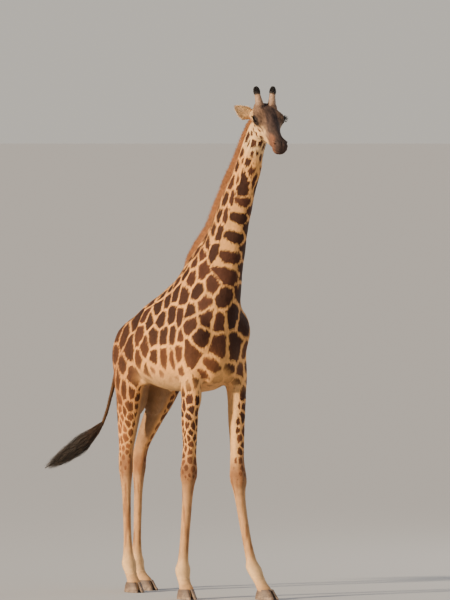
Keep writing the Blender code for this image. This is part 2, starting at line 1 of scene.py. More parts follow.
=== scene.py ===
"""The looks of a life-size standing giraffe, a still museum model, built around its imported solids.

One skin stands for all the flesh. Its shape is made of lofts, each a function of two parameters (place
along the part, angle round it), which are merged and smoothed, then drawn in by the depth of the coat.
Over it lies the coat: thin tufts along the lie of the hair. Skin and coat carry the same markings, which
are cells about seeds spread over the skin. Mane, tail tuft, ears, horns, eyes and hooves follow.

Frame: metres, +Z up, the animal faces -Y, its left side is +X. Places on the body are written as
(forward, left, up), and places on the head as (along, left, crown) from the poll.
"""

import math

import bmesh
import bpy
import numpy as np
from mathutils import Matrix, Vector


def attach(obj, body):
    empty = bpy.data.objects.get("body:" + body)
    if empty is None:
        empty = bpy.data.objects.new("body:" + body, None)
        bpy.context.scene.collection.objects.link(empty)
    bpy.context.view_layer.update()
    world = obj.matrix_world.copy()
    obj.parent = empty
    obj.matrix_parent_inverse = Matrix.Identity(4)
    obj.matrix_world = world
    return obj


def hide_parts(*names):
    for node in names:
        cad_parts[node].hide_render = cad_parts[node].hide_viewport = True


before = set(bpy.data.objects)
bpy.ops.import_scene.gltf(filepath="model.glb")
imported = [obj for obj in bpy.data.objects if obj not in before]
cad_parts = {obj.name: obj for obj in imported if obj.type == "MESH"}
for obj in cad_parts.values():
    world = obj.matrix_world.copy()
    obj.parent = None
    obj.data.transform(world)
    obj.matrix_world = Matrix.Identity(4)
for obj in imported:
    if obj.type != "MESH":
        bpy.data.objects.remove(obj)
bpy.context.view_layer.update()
rng = np.random.default_rng(20)

# ---- driving dimensions, in metres -------------------------------------------------------------
ORIGIN_FORWARD = -0.3427
ORIGIN_LEFT = -0.1293
BODY_VOXEL = 0.011
HEAD_VOXEL = 0.0045
SKIN_VOXEL = 0.005
SKIN_TRIANGLES = 190000
# how often each merged surface is smoothed, and how far it then swells to give back what that took
BODY_SMOOTHING, BODY_SWELL = 4, 0.0015
MUSCLE_SMOOTHING, MUSCLE_SWELL = 320, 0.0100
HEAD_SMOOTHING, HEAD_SWELL = 44, 0.0035
SKIN_SMOOTHING = 6
# how far the skin lies under the outline, which the tips of the hair reach
COAT_DEPTH = 0.0050
FACE_DEPTH = 0.0025
FOOT_DEPTH = 0.0025

# ---- trunk: forward, top, bottom, widest height, half width, upper and lower roundness ----------
TRUNK = np.array([
    (-1.500, 2.12, 1.93, 2.03, 0.050, 2.0, 2.0),
    (-1.450, 2.21, 1.84, 2.05, 0.130, 2.0, 2.0),
    (-1.320, 2.34, 1.80, 2.08, 0.205, 1.9, 2.1),
    (-1.150, 2.445, 1.82, 2.12, 0.255, 1.9, 2.2),
    (-0.950, 2.550, 1.82, 2.12, 0.300, 1.8, 2.2),
    (-0.750, 2.63, 1.785, 2.12, 0.330, 1.8, 2.2),
    (-0.550, 2.735, 1.765, 2.13, 0.335, 1.7, 2.2),
    (-0.400, 2.80, 1.765, 2.16, 0.315, 1.6, 2.2),
    (-0.200, 2.79, 1.77, 2.20, 0.285, 1.6, 2.1),
    (-0.020, 2.68, 1.79, 2.24, 0.250, 1.8, 2.0),
    (0.120, 2.50, 1.86, 2.24, 0.205, 2.0, 2.0),
    (0.210, 2.38, 1.99, 2.22, 0.130, 2.0, 2.0),
    (0.245, 2.30, 2.09, 2.20, 0.050, 2.0, 2.0),
])

# ---- neck: nape forward, up, throat forward, up, left, half width, roundness at the nape --------
NECK = np.array([
    (-0.520, 2.690, 0.200, 2.150, 0.000, 0.285, 1.8),
    (-0.450, 2.820, 0.285, 2.430, 0.000, 0.232, 1.7),
    (-0.270, 2.995, 0.362, 2.690, 0.000, 0.182, 1.5),
    (-0.025, 3.185, 0.417, 2.935, 0.002, 0.153, 1.45),
    (0.108, 3.370, 0.482, 3.140, 0.006, 0.132, 1.45),
    (0.245, 3.560, 0.565, 3.360, 0.012, 0.115, 1.45),
    (0.320, 3.665, 0.608, 3.480, 0.020, 0.107, 1.45),
    (0.436, 3.830, 0.680, 3.668, 0.030, 0.097, 1.5),
    (0.518, 3.965, 0.722, 3.825, 0.040, 0.089, 1.6),
    (0.600, 4.090, 0.788, 3.970, 0.053, 0.083, 1.8),
    (0.668, 4.140, 0.825, 4.050, 0.062, 0.058, 2.0),
])

NECK_UNDER_HEAD = 6.6  # the row where the part of the neck begins that is merged with the head

# ---- head: along, crown, widest height, chin, half width, roundness above and below -------------
HEAD_AT = (0.692, 0.081, 4.192)
HEAD_YAW = math.radians(9.0)  # turned to its right
HEAD_PITCH = math.radians(32.0)  # below level
HEAD = np.array([
    (-0.050, 0.035, 0.000, -0.050, 0.030, 2.0, 2.0),
    (-0.020, 0.074, 0.000, -0.085, 0.080, 2.0, 2.0),
    (0.040, 0.100, 0.010, -0.115, 0.102, 2.2, 2.0),
    (0.100, 0.106, 0.025, -0.142, 0.116, 2.4, 1.7),
    (0.160, 0.102, 0.030, -0.156, 0.129, 2.5, 1.5),
    (0.205, 0.091, 0.028, -0.154, 0.122, 2.4, 1.45),
    (0.255, 0.077, 0.015, -0.146, 0.091, 2.2, 1.6),
    (0.315, 0.063, 0.000, -0.132, 0.065, 2.0, 1.8),
    (0.375, 0.053, -0.012, -0.114, 0.052, 2.0, 1.9),
    (0.435, 0.046, -0.015, -0.096, 0.049, 2.0, 2.1),
    (0.495, 0.043, -0.014, -0.083, 0.056, 2.3, 2.2),
    (0.545, 0.034, -0.014, -0.071, 0.057, 2.4, 2.3),
    (0.580, 0.004, -0.022, -0.050, 0.035, 2.0, 2.0),
])
EYE_AT = np.array((0.185, 0.112, 0.030))
EYE_RADIUS = 0.029
# centre (along, left, crown) and radii of the forms on both sides of the head
HEAD_FORMS = (
    ((0.176, 0.092, 0.036), (0.068, 0.050, 0.048)),  # socket of the eye
    ((0.160, 0.062, -0.060), (0.120, 0.046, 0.085)),  # cheek
    ((0.060, 0.058, 0.072), (0.062, 0.044, 0.050)),  # horn base
    ((0.515, 0.020, -0.002), (0.062, 0.044, 0.044)),  # upper lip and nostril
    ((0.508, 0.013, -0.064), (0.058, 0.038, 0.026)),  # lower lip
    ((0.012, 0.070, -0.020), (0.044, 0.038, 0.050)),  # ear base
)

# ---- horns and ears, in head places ------------------------------------------------------------
HORN = np.array([
    (0.075, 0.052, 0.065, 0.043), (0.045, 0.057, 0.105, 0.0375), (0.016, 0.063, 0.138, 0.0310),
    (-0.008, 0.068, 0.163, 0.0280), (-0.021, 0.0715, 0.178, 0.0300), (-0.034, 0.074, 0.190, 0.0275),
    (-0.047, 0.0765, 0.2035, 0.0195), (-0.0525, 0.077, 0.2095, 0.0070),
])
EAR_LENGTH = 0.175
EAR_THINNESS = 0.8  # how thick the ear's skin is, as a share of the ear
EAR = np.array([  # place along the ear, half width, half thickness, cup
    (0.00, 0.028, 0.0150, 0.000), (0.15, 0.040, 0.0110, 0.012), (0.35, 0.052, 0.0065, 0.025),
    (0.55, 0.047, 0.0050, 0.024), (0.75, 0.033, 0.0045, 0.015), (0.90, 0.018, 0.0040, 0.006),
    (1.00, 0.005, 0.0030, 0.000),
])
# base in head places; then in body directions the ear's axis and the way it opens
EARS = {
    "ear_right": ((0.004, -0.082, -0.040), (-0.10, -0.86, 0.44), (0.80, -0.05, -0.40)),
    "ear_left": ((0.004, 0.082, -0.030), (-0.72, 0.45, 0.18), (0.30, 0.85, -0.30)),
}

# ---- legs: joints as (forward, left, up), then sections by their place on that chain ------------
LEG_JOINTS = {
    "leg_front_right": ((0.00, -0.190, 2.30), (0.00, -0.220, 1.90), (-0.005, -0.236, 1.11),
                        (-0.055, -0.266, 0.26), (0.015, -0.272, 0.09), (0.045, -0.275, 0.02)),
    "leg_front_left": ((0.00, 0.190, 2.30), (0.025, 0.220, 1.90), (0.118, 0.180, 1.06),
                       (0.262, 0.253, 0.27), (0.385, 0.285, 0.09), (0.43, 0.296, 0.02)),
    "leg_hind_right": ((-1.17, -0.150, 2.30), (-1.10, -0.190, 1.85), (-1.258, -0.146, 1.12),
                       (-1.215, -0.144, 0.25), (-1.14, -0.140, 0.09), (-1.11, -0.140, 0.02)),
    "leg_hind_left": ((-1.17, 0.150, 2.30), (-1.12, 0.190, 1.85), (-1.478, 0.112, 1.13),
                      (-1.520, 0.108, 0.25), (-1.395, 0.118, 0.09), (-1.35, 0.122, 0.02)),
}
# place on the chain (0 shoulder, 1 elbow, 2 knee, 3 fetlock, 4 crown of the hoof), front, back, half
FORE_SECTIONS = np.array([
    (0.00, 0.110, 0.150, 0.080), (0.50, 0.130, 0.170, 0.092), (1.00, 0.112, 0.140, 0.090),
    (1.15, 0.100, 0.115, 0.083), (1.30, 0.091, 0.096, 0.076), (1.50, 0.081, 0.084, 0.067),
    (1.75, 0.068, 0.069, 0.059), (1.90, 0.074, 0.069, 0.065), (2.00, 0.086, 0.078, 0.076),
    (2.06, 0.084, 0.077, 0.074), (2.15, 0.058, 0.062, 0.056), (2.30, 0.044, 0.051, 0.044),
    (2.60, 0.040, 0.048, 0.038), (2.82, 0.044, 0.055, 0.043), (3.00, 0.060, 0.074, 0.064),
    (3.15, 0.058, 0.070, 0.063), (3.60, 0.050, 0.058, 0.055), (4.00, 0.062, 0.060, 0.064),
    (5.00, 0.070, 0.060, 0.068),
])
HIND_SECTIONS = np.array([
    (0.00, 0.170, 0.180, 0.090), (0.50, 0.200, 0.240, 0.112), (1.00, 0.182, 0.215, 0.120),
    (1.25, 0.155, 0.172, 0.105), (1.50, 0.128, 0.130, 0.084), (1.75, 0.092, 0.100, 0.064),
    (1.88, 0.075, 0.098, 0.057), (1.95, 0.075, 0.106, 0.057), (2.05, 0.071, 0.100, 0.058),
    (2.15, 0.056, 0.074, 0.049), (2.30, 0.042, 0.052, 0.037), (2.60, 0.037, 0.044, 0.032),
    (2.82, 0.044, 0.055, 0.042), (3.00, 0.060, 0.074, 0.061), (3.15, 0.057, 0.068, 0.059),
    (3.60, 0.050, 0.056, 0.052), (4.00, 0.060, 0.056, 0.061), (5.00, 0.066, 0.056, 0.064),
])

# ---- muscles: centre, radii (forward, left, up), tilt of the long axis; made on both sides -------
MUSCLES = (
    ((-0.120, 0.165, 2.46), (0.170, 0.085, 0.360), 33.0),  # shoulder blade
    ((0.055, 0.198, 2.31), (0.165, 0.120, 0.205), 14.0),  # point of the shoulder
    ((-0.110, 0.200, 2.06), (0.180, 0.095, 0.230), 30.0),  # triceps
    ((0.100, 0.075, 2.05), (0.125, 0.105, 0.210), 0.0),  # breast
    ((0.035, 0.215, 1.80), (0.080, 0.075, 0.230), 0.0),  # forearm
    ((-1.120, 0.160, 2.10), (0.270, 0.112, 0.280), -20.0),  # thigh
    ((-1.200, 0.115, 2.20), (0.210, 0.110, 0.130), 60.0),  # croup
    ((-1.010, 0.175, 2.30), (0.110, 0.070, 0.080), 0.0),  # hip bone
    ((-1.355, 0.115, 2.01), (0.120, 0.100, 0.250), 8.0),  # buttock
    ((-1.215, 0.085, 1.80), (0.185, 0.085, 0.270), 10.0),  # inside of the thigh
    ((-0.960, 0.150, 1.93), (0.150, 0.070, 0.130), -25.0),  # fold of the flank
)
NAVEL = ((-0.730, 0.0, 1.775), (0.050, 0.020, 0.024), 0.0)
BLENDED = (1.72, 1.95, 2.75, 3.05)  # heights over which the muscles blend into one another

# ---- mane: share of the neck's length, height above the nape, half thickness ---------------------
MANE = np.array([
    (0.080, -0.020, 0.014), (0.115, 0.040, 0.018), (0.18, 0.080, 0.022), (0.28, 0.094, 0.023),
    (0.40, 0.090, 0.022), (0.60, 0.084, 0.021), (0.76, 0.080, 0.019), (0.89, 0.068, 0.017),
    (0.96, 0.044, 0.014), (1.00, 0.000, 0.008),
])

# ---- tail: forward, left, up, radius -----------------------------------------------------------
TAIL = np.array([
    (-1.380, 0.000, 2.250, 0.050), (-1.490, -0.005, 2.205, 0.043), (-1.548, -0.025, 2.100, 0.033),
    (-1.566, -0.070, 1.920, 0.025), (-1.560, -0.120, 1.740, 0.020), (-1.560, -0.170, 1.570, 0.018),
    (-1.573, -0.215, 1.440, 0.018),
])
TAIL_TUFT = np.array([
    (-1.570, -0.207, 1.470, 0.022), (-1.590, -0.252, 1.405, 0.044), (-1.622, -0.312, 1.338, 0.072),
    (-1.668, -0.380, 1.268, 0.084), (-1.728, -0.455, 1.197, 0.072), (-1.798, -0.540, 1.125, 0.046),
    (-1.862, -0.622, 1.066, 0.010),
])

# ---- hooves: joint on the ground (forward, left), turn outwards in degrees -----------------------
HOOVES = {
    "hoof_front_right": (0.030, -0.275, 6.0),
    "hoof_front_left": (0.410, 0.293, 10.0),
    "hoof_hind_right": (-1.130, -0.140, 6.0),
    "hoof_hind_left": (-1.375, 0.120, 6.0),
}
CLAW = np.array([  # height, heel, toe, inner side, outer side
    (0.000, -0.086, 0.128, 0.004, 0.076), (0.006, -0.088, 0.130, 0.003, 0.079),
    (0.035, -0.084, 0.104, 0.003, 0.075), (0.065, -0.076, 0.080, 0.002, 0.070),
    (0.0876, -0.066, 0.062, 0.002, 0.063),
])
TOE_POINT = 0.42  # how far the toe draws in to the cleft

# ---- where the parts of the body meet, as (forward, up) points of planes across it ---------------
HEAD_CUT = np.array(((0.570, 4.130), (0.820, 3.870)))
NECK_CUT = np.array(((-0.400, 2.900), (0.270, 2.150)))


# ================================ places ========================================================
def body_point(forward, left, up):
    """A place on the body, as a point of the frame."""
    return np.stack(np.broadcast_arrays(left - ORIGIN_LEFT, ORIGIN_FORWARD - forward, up), -1)


def body_place(points):
    """(forward, left, up) of points of the frame."""
    return ORIGIN_FORWARD - points[..., 1], points[..., 0] + ORIGIN_LEFT, points[..., 2]


def body_direction(forward, left, up):
    """A direction given forward, left and up, as a unit vector of the frame."""
    way = np.stack(np.broadcast_arrays(left, -np.asarray(forward, float), up), -1).astype(float)
    return way / np.linalg.norm(way, axis=-1, keepdims=True)


def head_axes():
    """Unit vectors along the head, to its left and to its crown."""
    level = (math.cos(HEAD_YAW), -math.sin(HEAD_YAW))
    down, flat = math.sin(HEAD_PITCH), math.cos(HEAD_PITCH)
    along = body_direction(level[0] * flat, level[1] * flat, -down)
    crown = body_direction(level[0] * down, level[1] * down, flat)
    return np.array((along, np.cross(crown, along), crown))


HEAD_AXES = head_axes()


def head_point(along, left, crown):
    """A place on the head, measured from its poll, as a point of the frame."""
    place = np.stack(np.broadcast_arrays(along, left, crown), -1)
    return body_point(*HEAD_AT) + place @ HEAD_AXES


def head_place(points):
    """(along, left, crown) of points of the frame."""
    place = (points - body_point(*HEAD_AT)) @ HEAD_AXES.T
    return place[..., 0], place[..., 1], place[..., 2]


def at_places(knots, values, places):
    """A smooth curve through (knots, values) that never overshoots them, read at places."""
    values = np.asarray(values, float).reshape(len(knots), -1)
    step = np.diff(knots)[:, None]
    rise = np.diff(values, axis=0) / step
    slope = np.zeros_like(values)
    slope[0], slope[-1] = rise[0], rise[-1]
    before, after = rise[:-1], rise[1:]
    same = before * after > 0
    slope[1:-1][same] = (2 * before * after / np.where(same, before + after, 1.0))[same]
    i = np.clip(np.searchsorted(knots, places, side="right") - 1, 0, len(knots) - 2)
    h = step[i]
    t = (places - knots[i])[:, None] / h
    return (
        values[i] * (1 + 2 * t) * (1 - t) ** 2 + values[i + 1] * t * t * (3 - 2 * t)
        + slope[i] * h * t * (1 - t) ** 2 - slope[i + 1] * h * t * t * (1 - t)
    )


def spread(table, count):
    """A table of sections, read at count even steps of its rows."""
    rows = np.arange(len(table), dtype=float)
    return at_places(rows, table, np.linspace(0.0, rows[-1], count))


def step(low, high, x):
    """0 below low, 1 above high and a smooth rise between."""
    t = np.clip((x - low) / (high - low), 0.0, 1.0)
    return t * t * (3 - 2 * t)


def bump(x, width):
    """A bell that is 1 at x = 0 and has all but gone two widths away."""
    return np.exp(-((x / width) ** 2))


def unit(v):
    """Vectors of length 1 along these."""
    return v / np.maximum(np.linalg.norm(v, axis=-1, keepdims=True), 1e-9)


LATTICE = rng.random((32, 32, 32))


def noise(points, scale, shift=0.0):
    """Smooth noise from -1 to 1: a lattice of random values, scale cells to the metre, blended."""
    q = points * scale + shift
    cell = np.floor(q).astype(int)
    t = q - cell
    t = t * t * (3 - 2 * t)
    total = np.zeros(q.shape[:-1])
    for corner in range(8):
        d = np.array((corner & 1, corner >> 1 & 1, corner >> 2 & 1))
        share = np.prod(np.where(d, t, 1 - t), axis=-1)
        i = (cell + d) % 32
        total += share * LATTICE[i[..., 0], i[..., 1], i[..., 2]]
    return 2 * total - 1


# ================================ surfaces ======================================================
def oval(sides, above, below):
    """Cosines and sines of unit superellipses, each with its own roundness above and below."""
    angle = np.linspace(0.0, 2 * math.pi, sides, endpoint=False)[None, :]
    c, s = np.cos(angle), np.sin(angle)
    power = np.where(s > 0, 2 / np.reshape(above, (-1, 1)), 2 / np.reshape(below, (-1, 1)))
    return np.sign(c) * np.abs(c) ** power, np.sign(s) * np.abs(s) ** power


def mesh_of(points, triangles):
    """A mesh of these triangles, turned so that their faces point outwards."""
    a, b, c = (points[triangles[:, k]] for k in range(3))
    if np.einsum("ij,ij->i", a, np.cross(b, c)).sum() < 0:
        triangles = triangles[:, ::-1]
    mesh = bpy.data.meshes.new("surface")
    mesh.vertices.add(len(points))
    mesh.vertices.foreach_set("co", np.ascontiguousarray(points, np.float32).ravel())
    mesh.loops.add(triangles.size)
    mesh.loops.foreach_set("vertex_index", np.ascontiguousarray(triangles, np.int32).ravel())
    mesh.polygons.add(len(triangles))
    mesh.polygons.foreach_set("loop_start", np.arange(0, triangles.size, 3, dtype=np.int32))
    mesh.polygons.foreach_set("use_smooth", np.ones(len(triangles), bool))
    mesh.update(calc_edges=True)
    return mesh


def ring_triangles(count, sides):
    """Triangles of a closed tube of count rings, with a fan to a point added at each end."""
    r, s = np.meshgrid(np.arange(count - 1), np.arange(sides), indexing="ij")
    a, b = r * sides + s, r * sides + (s + 1) % sides
    walls = np.stack((a, b, b + sides, a, b + sides, a + sides), -1).reshape(-1, 3)
    s = np.arange(sides)
    n = (s + 1) % sides
    first, last = count * sides, count * sides + 1
    low = np.stack((np.full(sides, first), n, s), -1)
    high = np.stack((np.full(sides, last), (count - 1) * sides + s, (count - 1) * sides + n), -1)
    return np.concatenate((walls, low, high))


def loft(rings):
    """A closed mesh through rings of points, fanned to the middle of the first and the last."""
    points = np.concatenate((rings.reshape(-1, 3), rings[:1].mean(1), rings[-1:].mean(1)))
    return mesh_of(points, ring_triangles(*rings.shape[:2]))


def trunk(rings=60, sides=60):
    """Upright sections from the rump to the breast: superellipses that grow and shrink."""
    f, top, bottom, wide, half, above, below = spread(TRUNK, rings).T
    c, s = oval(sides, above, below)
    up = wide[:, None] + np.where(s > 0, s * (top - wide)[:, None], s * (wide - bottom)[:, None])
    return loft(body_point(f[:, None] + 0 * s, half[:, None] * c, up))


def neck(rings=60, sides=48, start=0.0):
    """Sections across the neck, each between a point of the nape and one of the throat."""
    rows = np.arange(len(NECK), dtype=float)
    table = at_places(rows, NECK, np.linspace(start, rows[-1], rings))
    nf, nz, tf, tz, left, half, above = (x[:, None] for x in table.T)
    c, s = oval(sides, above, np.full(rings, 2.0))
    forward = (nf + tf) / 2 + (nf - tf) / 2 * s
    up = (nz + tz) / 2 + (nz - tz) / 2 * s
    return loft(body_point(forward, left + half * c, up))


def skull(rings=70, sides=60):
    """Sections across the head, from the poll to the lips: superellipses again."""
    along, crown, wide, chin, half, above, below = spread(HEAD, rings).T
    c, s = oval(sides, above, below)
    up = wide[:, None] + s * np.where(s > 0, (crown - wide)[:, None], (wide - chin)[:, None])
    return loft(head_point(along[:, None] + 0 * s, half[:, None] * c, up))


def leg(joints, sections, rings=100, sides=36):
    """Level sections down one leg, whose centres follow the smooth chain of its joints."""
    place, front, back, half = spread(sections, rings).T
    f, left, up = at_places(np.arange(len(joints), dtype=float), np.array(joints), place).T
    c, s = oval(sides, np.full(rings, 2.0), np.full(rings, 2.0))
    forward = f[:, None] + np.where(s > 0, s * front[:, None], s * back[:, None])
    return loft(body_point(forward, left[:, None] + half[:, None] * c, up[:, None] + 0 * s))


ASIDE = (0.35, -1.0, 0.2)  # a direction that no tube or horn follows, to square its sections to


def tube(line, radius, sides=20):
    """Round sections along a line of points."""
    tangent = unit(np.gradient(line, axis=0))
    side = unit(np.cross(tangent, ASIDE))[:, None]
    other = np.cross(side, tangent[:, None])
    c, s = oval(sides, np.full(len(line), 2.0), np.full(len(line), 2.0))
    r = radius[:, None, None]
    return loft(line[:, None] + r * c[..., None] * side + r * s[..., None] * other)


def ball(radii, columns=32, rows=20):
    """Rings of an ellipsoid about the origin, with axes (first, second, third)."""
    lat = np.linspace(-math.pi / 2, math.pi / 2, rows + 2)[1:-1, None]
    lon = np.linspace(0.0, 2 * math.pi, columns, endpoint=False)[None, :]
    return (radii[0] * np.cos(lat) * np.cos(lon), radii[1] * np.cos(lat) * np.sin(lon),
            radii[2] * np.sin(lat) + 0 * lon)


def muscle(centre, radii, tilt):
    """An ellipsoid on the body, its upright axis leaning back by tilt degrees."""
    f, left, up = ball(radii)
    lean = math.radians(tilt)
    forward = f * math.cos(lean) - up * math.sin(lean)
    height = f * math.sin(lean) + up * math.cos(lean)
    return loft(body_point(centre[0] + forward, centre[1] + left, centre[2] + height))


def head_form(centre, radii):
    """An ellipsoid on the head, square to its axes."""
    along, left, crown = ball(radii)
    return loft(head_point(centre[0] + along, centre[1] + left, centre[2] + crown))


def ear_rings(base, axis, opening, rings=40, sides=40, thin=1.0):
    """A leaf, cupped towards the way it opens: half width and cup follow the ear's table."""
    place, half, thick, cup = spread(EAR, rings).T
    along = body_direction(*axis)
    across = unit(np.cross(along, body_direction(*opening)))
    face = np.cross(across, along)
    c, s = oval(sides, np.full(rings, 2.0), np.full(rings, 2.0))
    lift = thin * thick[:, None] * s + cup[:, None] * c * c
    return (head_point(*base) + (EAR_LENGTH * place)[:, None, None] * along
            + (half[:, None] * c)[..., None] * across + lift[..., None] * face)


# ================================ one skin ======================================================
def points_of(mesh):
    """Where the mesh's vertices are."""
    points = np.empty(len(mesh.vertices) * 3, np.float32)
    mesh.vertices.foreach_get("co", points)
    return points.reshape(-1, 3).astype(float)


def normals_of(mesh):
    """Unit vectors out of the mesh at its vertices."""
    normals = np.empty(len(mesh.vertices) * 3, np.float32)
    mesh.vertex_normals.foreach_get("vector", normals)
    return normals.reshape(-1, 3).astype(float)


def move_points(mesh, points):
    """Puts the mesh's vertices at these points."""
    mesh.vertices.foreach_set("co", points.astype(np.float32).ravel())
    mesh.update()


def joined(meshes):
    """One mesh that holds all of these."""
    shape = bmesh.new()
    for mesh in meshes:
        shape.from_mesh(mesh)
    whole = bpy.data.meshes.new("joined")
    shape.to_mesh(whole)
    shape.free()
    return whole


def modified(mesh, *steps, groups=()):
    """The mesh after a stack of modifiers, each given as (type, {setting: value})."""
    helper = bpy.data.objects.new("helper", mesh)
    bpy.context.scene.collection.objects.link(helper)
    share = helper.vertex_groups.new(name="share") if groups else None
    for members, weight in groups:
        share.add(members.tolist(), weight, "REPLACE")
    for kind, settings in steps:
        modifier = helper.modifiers.new(kind.title(), kind)
        for name, value in settings.items():
            setattr(modifier, name, value)
    graph = bpy.context.evaluated_depsgraph_get()
    made = bpy.data.meshes.new_from_object(helper.evaluated_get(graph))
    bpy.data.objects.remove(helper)
    return made


def smoothed(mesh, times):
    """The mesh with each vertex moved half way to its neighbours' middle, this many times."""
    return modified(mesh, ("SMOOTH", {"factor": 0.5, "iterations": times}))


def remeshed(mesh, voxel):
    """One closed surface round everything in the mesh, on a grid of this step."""
    return modified(mesh, ("REMESH", {"mode": "VOXEL", "voxel_size": voxel}))


def whole_body():
    """Trunk, neck, legs and muscles as one surface, with the muscles smoothed into the trunk."""
    loose = [trunk(), neck(), muscle(*NAVEL)]
    for name, joints in LEG_JOINTS.items():
        loose.append(leg(joints, FORE_SECTIONS if "front" in name else HIND_SECTIONS))
    for (f, left, up), radii, tilt in MUSCLES:
        loose += [muscle((f, side * left, up), radii, tilt) for side in (1, -1)]
    rough = smoothed(remeshed(joined(loose), BODY_VOXEL), BODY_SMOOTHING)
    start = points_of(rough) + BODY_SWELL * normals_of(rough)
    soft = smoothed(rough, MUSCLE_SMOOTHING)
    end = points_of(soft) + MUSCLE_SWELL * normals_of(soft)
    share = np.interp(start[:, 2], BLENDED, (0.0, 1.0, 1.0, 0.0))[:, None]
    move_points(rough, start + share * (end - start))
    return rough


def whole_head():
    """Skull, cheeks, sockets, lips and the top of the neck as one finer surface."""
    loose = [skull(), neck(start=NECK_UNDER_HEAD)]
    for (along, left, crown), radii in HEAD_FORMS:
        loose += [head_form((along, side * left, crown), radii) for side in (1, -1)]
    fine = smoothed(remeshed(joined(loose), HEAD_VOXEL), HEAD_SMOOTHING)
    move_points(fine, points_of(fine) + HEAD_SWELL * normals_of(fine))
    return fine


def tail_root():
    """The bare part of the tail: a tube along its table."""
    f, left, up, radius = spread(TAIL, 60).T
    return tube(body_point(f, left, up), radius)


# ---- shares of the regions -----------------------------------------------------------------------
def plane_distance(cut, f, z):
    """How far places lie above a plane across the neck, given by two (forward, up) points."""
    way = unit(cut[1] - cut[0])
    return (f - cut[0, 0]) * -way[1] + (z - cut[0, 1]) * way[0]


NECK_LINE = spread(NECK, 90)
NECK_MIDDLE = (NECK_LINE[:, 0:2] + NECK_LINE[:, 2:4]) / 2


def neck_place(f, z):
    """Place along the neck, from 0 at the withers to 1 at the poll, by its nearest section."""
    away = (f[:, None] - NECK_MIDDLE[:, 0]) ** 2 + (z[:, None] - NECK_MIDDLE[:, 1]) ** 2
    return away.argmin(1) / (len(NECK_MIDDLE) - 1)


def neck_row(place):
    """The row of the neck's line at a place along it."""
    last = len(NECK_LINE) - 1
    return np.clip((place * last).astype(int), 0, last)


def neck_axis(place):
    """Unit vector up along the neck at a place on it."""
    way = unit(np.gradient(NECK_MIDDLE, axis=0))[neck_row(place)]
    return body_direction(way[:, 0], 0.0, way[:, 1])


class Places:
    """Where points of the skin lie: their body and head places and their share of each region.

    f, l, z are forward, left and up on the body; a, s, c are along, left and crown on the head.
    back is 0 at the throat and 1 at the nape, and turn is the same as an angle from 0 to 180 degrees.
    """

    def __init__(self, points):
        self.points = points
        self.f, self.l, self.z = body_place(points)
        self.a, self.s, self.c = head_place(points)
        self.side = np.where(self.l > 0, 1.0, -1.0)
        self.head = step(-0.02, 0.02, plane_distance(HEAD_CUT, self.f, self.z))
        above = plane_distance(NECK_CUT, self.f, self.z)
        self.neck = step(-0.12, 0.12, above) * (1 - self.head)
        self.along_neck = neck_place(self.f, self.z)
        tail = step(-1.50, -1.54, self.f) * step(1.30, 1.36, self.z)
        self.tail = tail * step(2.24, 2.16, self.z)
        self.leg = step(1.95, 1.75, self.z) * (1 - self.tail)
        self.leg *= np.where(self.f > -0.6, step(0.30, 0.22, np.abs(self.f - 0.06) * (self.z > 1.7)),
                             step(0.36, 0.28, np.abs(self.f + 1.22) * (self.z > 1.7)))
        self.fore = self.f > -0.6
        self.trunk = (1 - self.head - self.neck) * (1 - self.leg) * (1 - self.tail)
        self.belly = self.trunk * step(-0.98, -0.87, self.f) * step(0.16, 0.02, self.f)
        self.knee = np.where(self.fore, 1.09, 1.12)
        row = NECK_LINE[neck_row(self.along_neck)]
        depth = (row[:, 0] - row[:, 2]) ** 2 + (row[:, 1] - row[:, 3]) ** 2
        self.back = ((self.f - row[:, 2]) * (row[:, 0] - row[:, 2])
                     + (self.z - row[:, 3]) * (row[:, 1] - row[:, 3])) / depth
        self.turn = np.degrees(np.arccos(np.clip(1 - 2 * self.back, -1.0, 1.0)))
        self.middle_f = np.zeros(len(self.f))
        self.inner = np.zeros(len(self.f))
        for joints in LEG_JOINTS.values():
            f0, l0, z0 = np.array(joints[::-1]).T
            own = (self.fore == (f0[-1] > -0.6)) & (self.side == np.sign(l0[-1]))
            self.middle_f[own] = np.interp(self.z[own], z0, f0)
            self.inner[own] = np.abs(np.interp(self.z[own], z0, l0)) - np.abs(self.l[own])
        self.ear = np.zeros(len(self.f))
        self.ear_open = np.zeros(len(self.f))
        for base, axis, opening in EARS.values():
            away = points - head_point(*base)
            along = body_direction(*axis)
            face = unit(np.cross(np.cross(along, body_direction(*opening)), along))
            t = away @ along / EAR_LENGTH
            off = np.linalg.norm(away - (away @ along)[:, None] * along, axis=1)
            share = step(0.02, 0.22, t) * (off < 0.085)
            self.ear = np.maximum(self.ear, share)
            self.ear_open += share * (away @ face)


